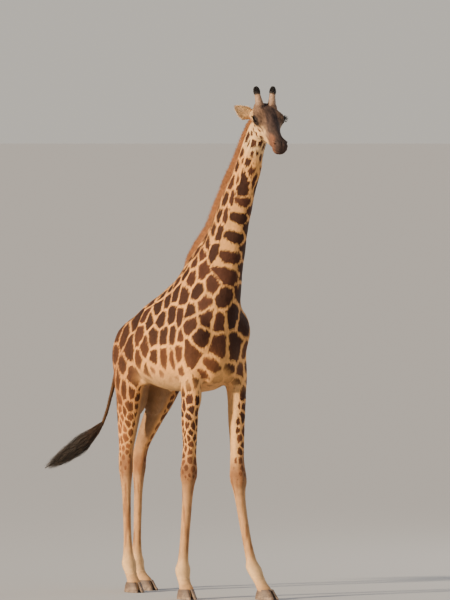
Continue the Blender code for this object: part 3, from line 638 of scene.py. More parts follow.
# ---- finer forms of the skin -----------------------------------------------------------------------
def leg_forms(p):
    """Tendons behind the cannon bones, points of the knees and hocks, creases of the pasterns."""
    out = np.zeros(len(p.f))
    for joints in LEG_JOINTS.values():
        chain = at_places(np.arange(6.0), np.array(joints), np.linspace(1.0, 5.0, 200))
        order = np.argsort(chain[:, 2])
        f0 = np.interp(p.z, chain[order, 2], chain[order, 0])
        l0 = np.interp(p.z, chain[order, 2], chain[order, 1])
        near = (np.hypot(p.f - f0, p.l - l0) < 0.16) & (p.z < 1.75)
        angle = np.arctan2(np.abs(p.l - l0), p.f - f0)  # 0 in front, pi behind
        knee, fetlock = joints[2][2], joints[3][2]
        cannon = step(fetlock + 0.03, fetlock + 0.12, p.z) * step(knee - 0.08, knee - 0.16, p.z)
        groove = -0.0055 * bump(angle - 1.95, 0.28) + 0.0025 * bump(angle - 2.6, 0.35)
        arm = step(knee + 0.12, knee + 0.25, p.z) * step(1.75, 1.55, p.z)
        strap = 0.0045 * np.sin(3.0 * angle + 4.0 * p.z) * step(0.3, 0.8, angle)
        joint = 0.0035 * bump(p.z - knee, 0.05) * np.cos(4 * angle)
        ankle = 0.0040 * bump(p.z - fetlock + 0.01, 0.035) * bump(angle - 1.5, 0.6)
        crease = -0.0022 * bump(p.z - fetlock + 0.075, 0.008) - 0.0018 * bump(
            p.z - fetlock + 0.10, 0.006)
        out += near * (cannon * groove + arm * strap + joint + ankle + crease)
    return out


def body_forms(p):
    """Ribs, the edge of the shoulder blade, folds behind the elbow and before the thigh."""
    ribs = 0.0016 * np.sin(2 * math.pi * (p.f + 0.35 * (p.z - 2.1)) / 0.085)
    ribs *= bump(p.f + 0.55, 0.26) * bump(p.z - 2.22, 0.20)
    blade = p.f + 0.10 - 0.55 * (p.z - 2.35)  # a line up and back across the shoulder
    shoulder = 0.010 * (bump(blade - 0.10, 0.05) - bump(blade + 0.17, 0.05))
    shoulder *= bump(p.z - 2.38, 0.26)
    flank = -0.014 * bump(p.f + 0.93, 0.10) * bump(p.z - 2.33, 0.12)
    stifle = -0.010 * bump(p.f + 0.90 + 0.30 * (p.z - 1.9), 0.030) * bump(p.z - 1.93, 0.16)
    elbow = -0.010 * bump(p.f + 0.22 - 0.25 * (p.z - 2.0), 0.028) * bump(p.z - 1.98, 0.14)
    thigh = 0.007 * np.sin(14.0 * (p.f + 1.2) + 2.2 * p.z) * bump(p.f + 1.25, 0.22) * bump(
        p.z - 1.95, 0.25)
    breast = -0.010 * bump(p.l, 0.022) * step(0.05, 0.20, p.f) * bump(p.z - 2.12, 0.16)
    swell = 0.0035 * noise(p.points, 6.0) + 0.0018 * noise(p.points, 15.0, 7.3)
    return p.trunk * (ribs + shoulder + flank + stifle + elbow + thigh + breast) + (
        1 - p.head) * swell * (0.35 + 0.65 * step(1.2, 1.9, p.z))


def neck_forms(p):
    """Long muscles and the jugular groove down the neck, and slack folds under the throat."""
    cords = 0.006 * bump(p.back - 0.62, 0.10) - 0.0075 * bump(p.back - 0.40, 0.055)
    cords += 0.004 * bump(p.back - 0.24, 0.07) - 0.003 * bump(p.back - 0.82, 0.06)
    folds = 0.0022 * np.sin(2 * math.pi * p.along_neck / 0.021) * step(0.82, 0.93, p.along_neck)
    folds *= bump(p.back, 0.45)
    return p.neck * (cords * step(0.06, 0.25, p.along_neck) + folds)


def nostril_place(p):
    """Distances along and across the slit of the nostril."""
    along, across = p.a - 0.527, p.c - 0.012
    return along * 0.86 + across * 0.50, across * 0.86 - along * 0.50


def head_forms(p):
    """Brow, cheek crest, tear groove, nostrils, lips and chin, as bells about lines on the head."""
    a, s, c = p.a, np.abs(p.s), p.c
    out = 0.004 * bump(a - 0.175, 0.05) * bump(c - 0.082, 0.016) * step(0.05, 0.09, s)
    out -= 0.005 * bump(a - 0.285, 0.040) * bump(c - 0.020 + 0.25 * (a - 0.26), 0.012) * step(
        0.03, 0.06, s)
    out += 0.0035 * bump(a - 0.30, 0.075) * bump(c + 0.030 - 0.10 * (a - 0.3), 0.012)
    out -= 0.0045 * bump(a - 0.36, 0.08) * bump(c + 0.062, 0.018)
    out += 0.009 * bump(a - 0.235, 0.045) * bump(s, 0.028) * step(0.03, 0.06, c)
    # nostril: a slanting slit behind the lip, with a raised rim above it
    slit, over = nostril_place(p)
    nostril = bump(slit, 0.0175) * bump(over, 0.0062) * step(0.020, 0.034, s)
    out -= 0.0150 * nostril
    out += 0.0050 * bump(slit, 0.026) * bump(over - 0.0135, 0.0080) * step(0.018, 0.030, s)
    # mouth: a groove from the front of the lips back along the jaw, with a lip on each side of it
    line = c + 0.043 + 0.16 * (0.56 - a) * step(0.60, 0.50, a)
    reach = step(0.405, 0.450, a)
    out -= 0.0080 * bump(line, 0.0040) * reach
    out += 0.0028 * bump(line - 0.013, 0.009) * reach + 0.0024 * bump(line + 0.013, 0.009) * reach
    out -= 0.0035 * bump(a - 0.565, 0.03) * bump(s, 0.0045) * step(-0.040, -0.020, c)
    out += 0.0007 * noise(p.points, 90.0) * step(0.42, 0.50, a)
    out += 0.0012 * noise(p.points, 28.0, 3.1)
    # folds that ring the eye socket
    e = np.hypot((a - EYE_AT[0]) / 1.25, c - EYE_AT[2])
    out += 0.0012 * np.sin(2 * math.pi * e / 0.0115) * bump(e - 0.052, 0.016) * step(0.06, 0.09, s)
    out -= 0.0185 * bump(e, 0.0235) * step(0.07, 0.10, s)
    return out * p.head


def depth_of_coat(p):
    """How deep the skin lies under the tips of the hair: least on the face and the feet."""
    depth = COAT_DEPTH + (FOOT_DEPTH - COAT_DEPTH) * step(1.05, 0.45, p.z)
    return depth + p.head * (FACE_DEPTH - depth)


def skin_mesh():
    """The whole skin: body, head and tail merged, drawn in under the coat, formed and thinned."""
    whole = joined([whole_body(), whole_head(), tail_root()])
    fine = smoothed(remeshed(whole, SKIN_VOXEL), SKIN_SMOOTHING)
    p = Places(points_of(fine))
    relief = leg_forms(p) + body_forms(p) + neck_forms(p) + head_forms(p) - depth_of_coat(p)
    move_points(fine, p.points + relief[:, None] * normals_of(fine))
    ratio = min(1.0, SKIN_TRIANGLES / (2 * len(fine.polygons)))
    kept_finer, thinned = np.flatnonzero(p.head > 0.5), np.flatnonzero(p.head <= 0.5)
    return modified(fine, ("DECIMATE", {"ratio": ratio, "vertex_group": "share",
                                        "vertex_group_factor": 0.02}),
                    groups=[(kept_finer, 0.0), (thinned, 1.0)])


def with_ears(mesh):
    """The skin with both ears set into it, as one closed surface."""
    for name, (base, axis, opening) in EARS.items():
        ear = bpy.data.objects.new(name, loft(ear_rings(base, axis, opening, thin=EAR_THINNESS)))
        bpy.context.scene.collection.objects.link(ear)
        union = {"object": ear, "operation": "UNION", "solver": "MANIFOLD"}
        mesh = modified(mesh, ("BOOLEAN", union))
        bpy.data.objects.remove(ear)
    return mesh


# ================================ markings ========================================================
def neck_section(place, turn):
    """A point of the neck's surface: turn is 0 degrees at the throat and 180 at the nape."""
    rows = np.arange(len(NECK), dtype=float)
    nf, nz, tf, tz, left, half, _ = at_places(rows, NECK, place * rows[-1]).T
    angle = np.radians(turn)
    back = (1 - np.cos(angle)) / 2
    return body_point(tf + back * (nf - tf), left + half * np.sin(angle), tz + back * (nz - tz))


# edges of the broad front of the neck, in degrees to the left and right of the throat's middle
THROAT_EDGES = (22.0, 70.0)
# widths of the patches on that front, low and high on the neck's sides, and on the head
THROAT_PATCH, SIDE_PATCHES, HEAD_PATCH = 0.205, (0.112, 0.086), 0.043
THROAT_STRETCH = 0.46  # the patches there lie across the neck
# how far islands reach from their middles, as a share of their width, on that front and on the jaw
THROAT_REACH, JAW_REACH = 0.55, 0.52
RAGGED = 0.62  # how far the edges of the patches stray, as a share of their width
WIDEST_RAGGED = 0.16  # width past which they stray no further


def throat_share(p):
    """1 on the broad front of the neck, which lies a little to its right."""
    edge = np.where(p.side > 0, *THROAT_EDGES)
    return step(edge, edge - 14.0, p.turn)


def patch_width(p):
    """Width of the patches: widest on the trunk, narrow down the legs, small on cheek and jaw."""
    fore = np.interp(p.z, (1.05, 1.30, 1.60, 1.85, 2.10), (0.036, 0.044, 0.056, 0.082, 0.125))
    hind = np.interp(p.z, (1.10, 1.40, 1.70, 2.00, 2.25), (0.038, 0.049, 0.072, 0.104, 0.132))
    width = np.where(p.f > -0.6, fore, np.where(p.f < -0.95, hind, 0.138))
    width = np.where(p.z > 2.1, np.maximum(width, 0.130), width)
    width *= 1 - 0.32 * step(2.48, 2.74, p.z) * (1 - p.neck) * step(-0.2, -0.4, p.f)
    width *= 1 - 0.14 * step(-0.55, -0.25, p.f) * step(2.10, 2.25, p.z)
    scale = np.interp(p.along_neck, (0.20, 0.45, 0.63, 0.70, 0.78), (1.12, 1.0, 0.82, 0.52, 0.31))
    throat = throat_share(p) * step(0.19, 0.24, p.along_neck)
    side = SIDE_PATCHES[0] + (SIDE_PATCHES[1] - SIDE_PATCHES[0]) * step(0.22, 0.34, p.along_neck)
    side = side + 0.030 * (p.side > 0) * step(64.0, 50.0, p.turn)
    wide = side + (THROAT_PATCH - side) * throat
    wide = wide * np.where(p.along_neck > 0.22, scale, 1.0)
    width += p.neck * (np.maximum(wide, 0.045) - width)
    return width + p.head * (HEAD_PATCH - width)


def patch_stretch(p):
    """How much longer than wide the patches lie: most on the sides of the neck and the legs."""
    stretch = 1.15 + 0.25 * p.leg
    side = 1.3 + 0.9 * step(0.22, 0.34, p.along_neck)
    throat = throat_share(p) * step(0.19, 0.24, p.along_neck)
    neck_stretch = side + (THROAT_STRETCH - side) * throat * step(0.66, 0.62, p.along_neck)
    stretch += p.neck * (neck_stretch - stretch)
    return stretch + p.head * (1.7 - stretch)


def patch_reach(p):
    """How far a patch reaches from its middle, in metres: islands on throat, jaw and lower legs."""
    width = patch_width(p)
    share = 0.95 + 0 * width
    throat = throat_share(p) * step(0.22, 0.27, p.along_neck) * p.neck
    share += throat * (THROAT_REACH - share)
    jaw = step(0.70, 0.78, p.along_neck) * p.neck
    share += jaw * (JAW_REACH - share)
    low = np.where(p.fore, np.interp(p.z, (0.97, 1.10, 1.4, 1.8), (0.0, 0.52, 0.75, 0.95)),
                   np.interp(p.z, (0.92, 1.10, 1.4, 1.8), (0.0, 0.46, 0.68, 0.95)))
    share += p.leg * (low - share)
    edge = np.where(p.fore, np.interp(p.z, (1.05, 1.90), (0.042, 0.000)), -0.015)
    inside = step(0.0, 0.035, p.inner - edge)
    share *= 1 - p.leg * inside * step(2.05, 1.85, p.z)
    share += p.head * (JAW_REACH - share)
    return width * share - 0.04 * step(0.22, 0.05, share)


def patch_axis(p):
    """The long way of the patches: up the neck, up the legs, up and forward on the trunk."""
    trunk_way = body_direction(0.25 + 0.75 * step(2.45, 2.70, p.z), 0.0, 1.0)
    leg_way = body_direction(0.0, 0.0, 1.0)[None, :]
    way = trunk_way + p.leg[:, None] * (leg_way - trunk_way)
    way = way + p.neck[:, None] * (neck_axis(p.along_neck) - way)
    head_way = unit(HEAD_AXES[2] - 0.9 * HEAD_AXES[0])[None, :]
    return unit(way + p.head[:, None] * (head_way - way))


# columns of patches up the neck: degrees from the throat to its right, first and last place along
# the neck, spacing in metres, and the shift of the first one as a share of it
NECK_COLUMNS = (
    # up the broad front, with single ones at its foot and top
    (50.0, 0.185, 0.19, 0.168, 0.0), (21.0, 0.235, 0.62, 0.168, 0.0), (38.0, 0.655, 0.66, 0.100, 0.0),
    (4.0, 0.672, 0.68, 0.100, 0.0), (24.0, 0.715, 0.72, 0.100, 0.0),
    # small ones under the jaw
    (16.0, 0.755, 0.90, 0.085, 0.0), (42.0, 0.75, 0.92, 0.078, 0.0),
    (-18.0, 0.75, 0.92, 0.080, 0.7), (-44.0, 0.73, 0.92, 0.078, 0.2),
    # up the sides
    (71.0, 0.26, 0.86, 0.170, 0.5), (93.0, 0.29, 0.86, 0.150, 0.1), (118.0, 0.27, 0.86, 0.145, 0.6),
    (150.0, 0.27, 0.86, 0.160, 0.3), (-38.0, 0.22, 0.73, 0.185, 0.4), (-76.0, 0.28, 0.86, 0.155, 0.9),
    (-113.0, 0.27, 0.86, 0.150, 0.2), (-150.0, 0.28, 0.86, 0.160, 0.7),
)
# how far these seeds stray: along the neck, in metres, and round it, in degrees
COLUMN_STRAY = (0.008, 2.5)
NECK_SPAN = (0.26, 0.86)  # the stretch of the neck that only the columns fill
SEED_SAMPLES, SEED_TRIES = 24000, 9000
SEED_APART = 0.43  # least distance of two seeds, as a share of the sum of their widths
SEED_ROUNDS, SEED_STEP = 2, 0.5  # how often seeds move to their cells' middles, and how far each time


class Seeds:
    """The middles of the patches, each with its own width, long way and stretch."""

    def __init__(self, at, axis, width, stretch):
        self.at, self.axis, self.width, self.stretch = at, axis, width, stretch
        self.tag = np.random.default_rng(7).random(len(at))

    def forms(self):
        """Columns that give each seed's squared, scaled distance from the squares of a place."""
        a = self.axis
        keep = (1 - 1 / self.stretch ** 2)[:, None, None]
        m = (np.eye(3) - keep * a[:, :, None] * a[:, None, :]) / self.width[:, None, None] ** 2
        mc = np.einsum("nij,nj->ni", m, self.at)
        cc = np.einsum("ni,ni->n", mc, self.at)
        return np.stack((m[:, 0, 0], m[:, 1, 1], m[:, 2, 2], 2 * m[:, 0, 1], 2 * m[:, 0, 2],
                         2 * m[:, 1, 2], -2 * mc[:, 0], -2 * mc[:, 1], -2 * mc[:, 2], cc))

    def nearest(self, points, count):
        """Indices of the nearest seeds, by scaled distance."""
        forms = self.forms()
        found = []
        for q in np.array_split(points, max(1, len(points) // 20000)):
            x, y, z = q.T
            squares = np.stack((x * x, y * y, z * z, x * y, x * z, y * z, x, y, z, 1 + 0 * x), 1)
            away = squares @ forms
            some = np.argpartition(away, count, axis=1)[:, :count]
            order = np.argsort(np.take_along_axis(away, some, 1), axis=1)
            found.append(np.take_along_axis(some, order, 1))
        return np.concatenate(found)

    def distance(self, points, which):
        """Scaled distances of points (n, 3) to their seeds (n, k)."""
        d = points[:, None, :] - self.at[which]
        along = np.einsum("nkj,nkj->nk", d, self.axis[which])
        square = np.einsum("nkj,nkj->nk", d, d)
        square = square - along ** 2 * (1 - 1 / self.stretch[which] ** 2)
        return np.sqrt(np.maximum(square, 0.0)) / self.width[which]


def neck_columns(draw):
    """Seeds in columns up the throat and both sides of the neck."""
    rows = np.linspace(0.0, 1.0, 400)
    line = neck_section(rows, np.zeros(400))
    length = np.concatenate(((0.0,), np.cumsum(np.linalg.norm(np.diff(line, axis=0), axis=1))))
    at = []
    for turn, first, last, spacing, shift in NECK_COLUMNS:
        start = np.interp(first, rows, length) + spacing * shift
        place = np.arange(start, np.interp(last, rows, length), spacing)
        place = np.interp(place + draw.normal(0.0, COLUMN_STRAY[0], len(place)), length, rows)
        at.append(neck_section(place, -turn + draw.normal(0.0, COLUMN_STRAY[1], len(place))))
    return np.concatenate(at)


def spread_seeds(skin_points):
    """Seeds at least a patch apart, then evened out by moving each to the middle of its cell."""
    draw = np.random.default_rng(11)
    whole = Places(skin_points)
    wanted = patch_width(whole) ** -1.3 * (1 - 0.8 * whole.head)
    p = Places(skin_points[draw.choice(len(skin_points), SEED_SAMPLES, p=wanted / wanted.sum())])
    sample, width, stretch, axis = p.points, patch_width(p), patch_stretch(p), patch_axis(p)
    width = width * (1 + 0.30 * noise(sample, 5.0, 4.0))
    fixed = Places(neck_columns(draw))
    on_neck = (p.neck > 0.5) & (p.along_neck > NECK_SPAN[0]) & (p.along_neck < NECK_SPAN[1])
    candidates = np.flatnonzero(~on_neck)[:SEED_TRIES]
    used = len(fixed.points)
    at, way = np.zeros((2, used + len(candidates), 3))
    wide, long = np.zeros((2, used + len(candidates)))
    at[:used], way[:used] = fixed.points, patch_axis(fixed)
    wide[:used], long[:used] = patch_width(fixed), patch_stretch(fixed)
    for i in candidates:
        d = at[:used] - sample[i]
        along = (d * way[:used]).sum(1)
        away = np.sqrt((d * d).sum(1) - along * along * (1 - 1 / stretch[i] ** 2))
        if (away > SEED_APART * (width[i] + wide[:used])).all():
            at[used], way[used] = sample[i], axis[i]
            wide[used], long[used] = width[i], stretch[i]
            used += 1
    at, wide, long, way = at[:used], wide[:used], long[:used], way[:used]
    held = len(fixed.points)
    for _ in range(SEED_ROUNDS):
        near = Seeds(at, way, wide, long).nearest(sample, 1)[:, 0]
        count = np.bincount(near, minlength=len(at))
        for k in range(3):
            middle = np.bincount(near, sample[:, k], len(at)) / np.maximum(count, 1)
            at[held:, k] += SEED_STEP * np.where(count > 0, middle - at[:, k], 0.0)[held:]
    return Seeds(at, way, wide, long)


# ---- colours by place, as linear red, green and blue ---------------------------------------------
CREAM = np.array((0.79, 0.378, 0.114))
PALE = np.array((0.79, 0.50, 0.235))
BUFF = np.array((0.50, 0.260, 0.108))
DARK = np.array((0.049, 0.0160, 0.0072))
RUST = np.array((0.180, 0.064, 0.021))
TAN = np.array((0.33, 0.150, 0.062))
FACE = np.array((0.185, 0.104, 0.063))
NOSE = np.array((0.046, 0.028, 0.023))
MUZZLE = np.array((0.175, 0.070, 0.037))
CHEEK = np.array((0.68, 0.42, 0.200))
EAR_BACK = np.array((0.42, 0.25, 0.14))
MANE_COLOUR = np.array((0.300, 0.120, 0.043))
TUFT_BLACK = np.array((0.024, 0.019, 0.016))
TUFT_BROWN = np.array((0.074, 0.054, 0.041))
TUFT_CORE = np.array((0.02, 0.014, 0.011))
STALK = np.array((0.330, 0.200, 0.120))
CAP = np.array((0.016, 0.012, 0.011))
LASH = np.array((0.010, 0.008, 0.007))


def blend(colour, other, share):
    """Colours moved this share of the way to another."""
    return colour + (other - colour) * share[:, None]


def head_colour(p):
    """Cheeks cream, forehead tan-brown, bridge of the nose grey, muzzle rusty, lips dark; the grey of
    the bridge is partly painted shade, and painted shade darkens the eye sockets, cheek folds, nostrils
    and mouth line.
    """
    a, s, c = p.a, np.abs(p.s), p.c
    mottle = 0.010 * noise(p.points, 26.0) + 0.006 * noise(p.points, 60.0, 2.0)
    head = np.repeat(CHEEK[None, :], len(a), 0)
    head = blend(head, FACE, step(0.012, 0.045, c + mottle))
    side = step(0.275, 0.330, a + 0.75 * c + mottle)
    head = blend(head, FACE * 1.15, side)
    # dark grey bridge of the nose and forehead between the horns: partly the face's own darker colour,
    # partly painted shade
    bridge = step(0.074, 0.044, s + mottle) * step(0.08, 0.24, a) * step(-0.01, 0.02, c)
    head = blend(head, NOSE * 1.15, 0.95 * bridge)
    head = blend(head, NOSE * 1.35, 0.85 * step(0.072, 0.030, s + 2 * mottle) * step(0.05, 0.08, c))
    head = blend(head, MUZZLE, step(0.345, 0.415, a + mottle) * step(0.040, 0.010, c))
    lips = a + 0.5 * c + mottle - 0.35 * np.maximum(s - 0.02, 0)
    head = blend(head, NOSE, 0.9 * step(0.480, 0.555, lips))
    eye = np.hypot((a - EYE_AT[0]) / 1.30, c - EYE_AT[2])
    ring = step(0.05, 0.08, s)
    # painted shade in the eye sockets; the darker ring next to each eye is dark skin, partly painted
    # shade
    socket = step(0.085, 0.055, eye + mottle) * ring * step(-0.03, 0.0, c)
    head = blend(head, FACE * 0.60, 0.8 * socket)
    head = blend(head, NOSE * 0.45, step(0.050, 0.035, eye + 0.4 * mottle) * ring)
    tear = bump(c - 0.020 + 0.55 * (a - 0.22), 0.008) * step(0.20, 0.23, a) * step(0.31, 0.28, a)
    head = blend(head, NOSE * 0.8, 0.8 * tear * step(0.04, 0.06, s))
    # painted shade in the folds of the cheek
    folds = bump(np.sin((a - 0.30 * c + mottle) * 95.0) - 1.0, 0.45)
    folds *= bump(a - 0.275, 0.055) * bump(c, 0.06)
    head = blend(head, FACE * 0.7, 0.6 * folds * ring)
    streak = noise(np.stack((0.28 * a, p.s, c), 1), 95.0, 5.0)
    head = head * (1 + 0.42 * streak * step(-0.03, 0.02, c))[:, None]
    # painted shade in the slit of the nostril
    slit, over = nostril_place(p)
    head = blend(head, NOSE * 0.15, bump(slit, 0.016) * bump(over, 0.0062) * step(0.018, 0.030, s))
    # painted shade along the line of the mouth
    mouth = bump(c + 0.043 + 0.16 * (0.56 - a) * step(0.60, 0.50, a), 0.0035)
    return blend(head, NOSE * 0.3, mouth * step(0.40, 0.44, a))


def ground_colour(p):
    """Colour between the patches: cream, paler on the belly and fetlocks, buff down the legs."""
    colour = np.repeat(CREAM[None, :], len(p.f), 0)
    colour = blend(colour, PALE * 0.40 + CREAM * 0.40, p.belly * step(2.00, 1.84, p.z))
    rump = step(-0.85, -1.1, p.f) * step(1.45, 1.75, p.z) * np.maximum(p.trunk, p.leg)
    colour = blend(colour, RUST * 1.5, (0.30 + 0.30 * step(2.25, 2.0, p.z)) * rump)
    shank = step(1.30, 1.02, p.z) * p.leg
    colour = blend(colour, BUFF, shank)
    colour = blend(colour, BUFF * (0.50, 0.42, 0.40), p.leg * bump(p.z - p.knee, 0.13)
                   * step(-0.05, 0.02, p.f - p.middle_f))
    streak = noise(p.points * (1.0, 1.0, 0.16), 42.0, 9.0)
    colour = blend(colour, BUFF * (0.50, 0.40, 0.36), 0.75 * shank * step(0.00, 0.55, streak)
                   * step(0.28, 0.45, p.z))
    colour = blend(colour, PALE, 0.75 * bump(p.z - 0.235, 0.11) * p.leg)
    inside = step(0.00, 0.045, p.inner) * step(1.05, 1.35, p.z) * p.leg
    colour = blend(colour, PALE * 0.45 + CREAM * 0.48, inside * p.fore)
    # the inner side of the hind legs darkened to buff: painted shade between them
    colour = blend(colour, BUFF * (0.70, 0.72, 0.80), inside * ~p.fore)
    jaw = p.neck * step(0.72, 0.84, p.along_neck) * step(120.0, 90.0, p.turn)
    colour = blend(colour, PALE, jaw)
    throat = throat_share(p) * p.neck * step(0.80, 0.70, p.along_neck)
    colour = blend(colour, CREAM * (0.80, 0.84, 0.88), 0.8 * throat)
    tail_tone = 0.45 - 0.30 * step(2.0, 1.65, p.z)
    colour = blend(colour, RUST * tail_tone[:, None], 0.95 * p.tail)
    nape = p.neck * step(150.0, 168.0, p.turn)
    colour = blend(colour, MANE_COLOUR * 1.1, 0.8 * nape)
    colour = blend(colour, head_colour(p), p.head)
    colour = blend(colour, EAR_BACK, p.ear)
    # the open side of the ear pale, a little darkened as painted shade in its cup
    return blend(colour, PALE * 0.8, p.ear * step(0.000, 0.010, p.ear_open))


def patch_colour(p):
    """Colour of the patches: dark brown, rusty on the thighs and tan where they fade."""
    colour = np.repeat(DARK[None, :], len(p.f), 0)
    colour = blend(colour, DARK * 1.15, np.maximum(p.neck, step(-0.35, -0.05, p.f)))
    rump = step(-0.80, -1.20, p.f)
    colour = blend(colour, RUST, 0.40 * rump * step(2.50, 2.20, p.z))
    thigh = 0.48 * step(2.10, 1.75, p.z) + 0.45 * step(1.70, 1.40, p.z)
    colour = blend(colour, RUST, thigh * rump)
    colour = blend(colour, RUST * 0.75, 0.6 * step(1.70, 1.15, p.z) * p.fore)
    low = p.trunk * step(2.40, 2.02, p.z) * step(-1.0, -0.8, p.f)
    colour = blend(colour, RUST * 0.85, 0.52 * low)
    colour = blend(colour, TAN, 0.85 * p.belly * step(2.04, 1.88, p.z) * step(0.05, -0.15, p.f))
    return blend(colour, DARK * 1.3, p.head)


def patch_share(p):
    """How strongly the patches show: not at all under the belly or on the face."""
    share = 1 - 0.95 * p.belly * step(1.93, 1.83, p.z)
    share *= 1 - 0.95 * step(2.04, 1.94, p.z + 0.8 * np.abs(p.l)) * p.trunk * step(-0.95, -0.80, p.f)
    jaw = step(-0.010, -0.035, p.c) * step(0.315, 0.255, p.a)
    return share * (1 - p.head * (1 - jaw)) * (1 - p.tail) * (1 - p.ear)


def patch_line(p):
    """Half the width of the pale lines, in metres."""
    line = 0.0106 - 0.0016 * p.leg - 0.0036 * p.leg * step(1.85, 1.45, p.z)
    line = line + 0.0035 * p.trunk * step(2.32, 2.08, p.z) * step(-1.0, -0.85, p.f)
    line = line - 0.0018 * p.trunk * step(-0.9, -1.2, p.f)
    line = line + 0.010 * p.belly * step(2.08, 1.90, p.z)
    return line - 0.0034 * p.neck * step(0.18, 0.30, p.along_neck)


def attribute(mesh, name, kind, domain, values):
    """Values of this kind, one for each point or corner of the mesh."""
    made = mesh.attributes.new(name, kind, domain)
    field = {"FLOAT": "value", "FLOAT_VECTOR": "vector", "FLOAT_COLOR": "color"}[kind]
    made.data.foreach_set(field, np.ascontiguousarray(values, np.float32).ravel())


def with_alpha(colour):
    """Colours held between 0 and 1, with a fourth value of 1."""
    return np.concatenate((np.clip(colour, 0.0, 1.0), np.ones((len(colour), 1))), 1)


def mark_points(mesh, p, strand):
    """Writes what varies smoothly over the skin, and where each point lies or has its root.

    ground and patch are the two colours; extent holds the patches' share, half the width of the lines
    and the tone of a strand; reach and stray are lengths in metres.
    """
    attribute(mesh, "ground", "FLOAT_COLOR", "POINT", with_alpha(ground_colour(p)))
    attribute(mesh, "patch", "FLOAT_COLOR", "POINT", with_alpha(patch_colour(p)))
    attribute(mesh, "extent", "FLOAT_VECTOR", "POINT",
              np.stack((patch_share(p), patch_line(p), strand), 1))
    attribute(mesh, "reach", "FLOAT", "POINT", patch_reach(p))
    calm = 1 - 0.35 * p.trunk * step(2.2, 2.5, p.z)
    attribute(mesh, "stray", "FLOAT", "POINT",
              RAGGED * calm * np.minimum(patch_width(p), WIDEST_RAGGED))
    attribute(mesh, "root", "FLOAT_VECTOR", "POINT", p.points)


def mark_skin(mesh, seeds):
    """Each face knows its three nearest seeds, and each of its corners the distances to them."""
    p = Places(points_of(mesh))
    mark_points(mesh, p, np.full(len(p.f), 0.5))
    count = len(mesh.polygons)
    middle = np.empty(count * 3, np.float32)
    mesh.polygons.foreach_get("center", middle)
    total = np.empty(count, np.int32)
    mesh.polygons.foreach_get("loop_total", total)
    corner = np.empty(len(mesh.loops), np.int32)
    mesh.loops.foreach_get("vertex_index", corner)
    near = seeds.nearest(middle.reshape(-1, 3).astype(float), 3)
    own = np.repeat(near, total, axis=0)
    away = seeds.distance(p.points[corner], own) * patch_width(p)[corner, None]
    attribute(mesh, "near", "FLOAT_VECTOR", "CORNER", away)
    attribute(mesh, "tag", "FLOAT_VECTOR", "CORNER", seeds.tag[own])


# ================================ materials =======================================================
def new_material(name):
    """A material, its nodes and its shader."""
    look = bpy.data.materials.new(name)
    look.use_nodes = True
    return look, look.node_tree, look.node_tree.nodes["Principled BSDF"]


def link(tree, value, socket):
    """Puts a number, a tuple or another node's output into a socket."""
    if isinstance(value, bpy.types.NodeSocket):
        tree.links.new(value, socket)
    else:
        socket.default_value = value


def calc(tree, operation, *values):
    """The result of one operation on numbers."""
    node = tree.nodes.new("ShaderNodeMath")
    node.operation = operation
    for value, socket in zip(values, node.inputs):
        link(tree, value, socket)
    return node.outputs[0]


def vector_calc(tree, operation, *values):
    """The result of one operation on vectors."""
    node = tree.nodes.new("ShaderNodeVectorMath")
    node.operation = operation
    for value, socket in zip(values, node.inputs):
        link(tree, value, socket)
    return node.outputs[0]


def ramp(tree, value, low, high, start=0.0, end=1.0):
    """A smooth rise of value from low to high, as start to end."""
    node = tree.nodes.new("ShaderNodeMapRange")
    node.interpolation_type = "SMOOTHSTEP"
    for name, v in (("Value", value), ("From Min", low), ("From Max", high), ("To Min", start),
                    ("To Max", end)):
        link(tree, v, node.inputs[name])
    return node.outputs[0]


def mixed(tree, share, first, second):
    """A colour this share of the way from the first to the second."""
    node = tree.nodes.new("ShaderNodeMix")
    node.data_type = "RGBA"
    link(tree, share, node.inputs[0])
    link(tree, first, node.inputs[6])
    link(tree, second, node.inputs[7])
    return node.outputs[2]


def noise_of(tree, vector, scale, detail=2.0, roughness=0.5):
    """Cloudy noise from 0 to 1 at a place."""
    node = tree.nodes.new("ShaderNodeTexNoise")
    link(tree, vector, node.inputs["Vector"])
    node.inputs["Scale"].default_value = scale
    node.inputs["Detail"].default_value = detail
    node.inputs["Roughness"].default_value = roughness
    return node.outputs["Fac"]


def read(tree, name):
    """A node that reads the mesh's attribute of this name."""
    node = tree.nodes.new("ShaderNodeAttribute")
    node.attribute_name = name
    return node


def parts(tree, vector):
    """The three numbers of a vector."""
    node = tree.nodes.new("ShaderNodeSeparateXYZ")
    link(tree, vector, node.inputs[0])
    return node.outputs[:]


def object_place(tree):
    """The place on the piece, which is also the place in the frame."""
    return tree.nodes.new("ShaderNodeTexCoord").outputs["Object"]


def relief(tree, shader, height, distance, strength):
    """A fine unevenness in the light, this deep where height goes from 0 to 1."""
    node = tree.nodes.new("ShaderNodeBump")
    node.inputs["Distance"].default_value = distance
    node.inputs["Strength"].default_value = strength
    link(tree, height, node.inputs["Height"])
    link(tree, node.outputs[0], shader.inputs["Normal"])


EDGE = 0.0016  # half the width over which a patch turns into a line
REACH_EDGE = 0.0025  # the same at the outer edge of an island
CENTRE_DEPTH = 0.030  # how far inside its edge a patch has the tone of its middle
TAG_SHIFT = 37.0  # how far apart the seeds' tags set their noise


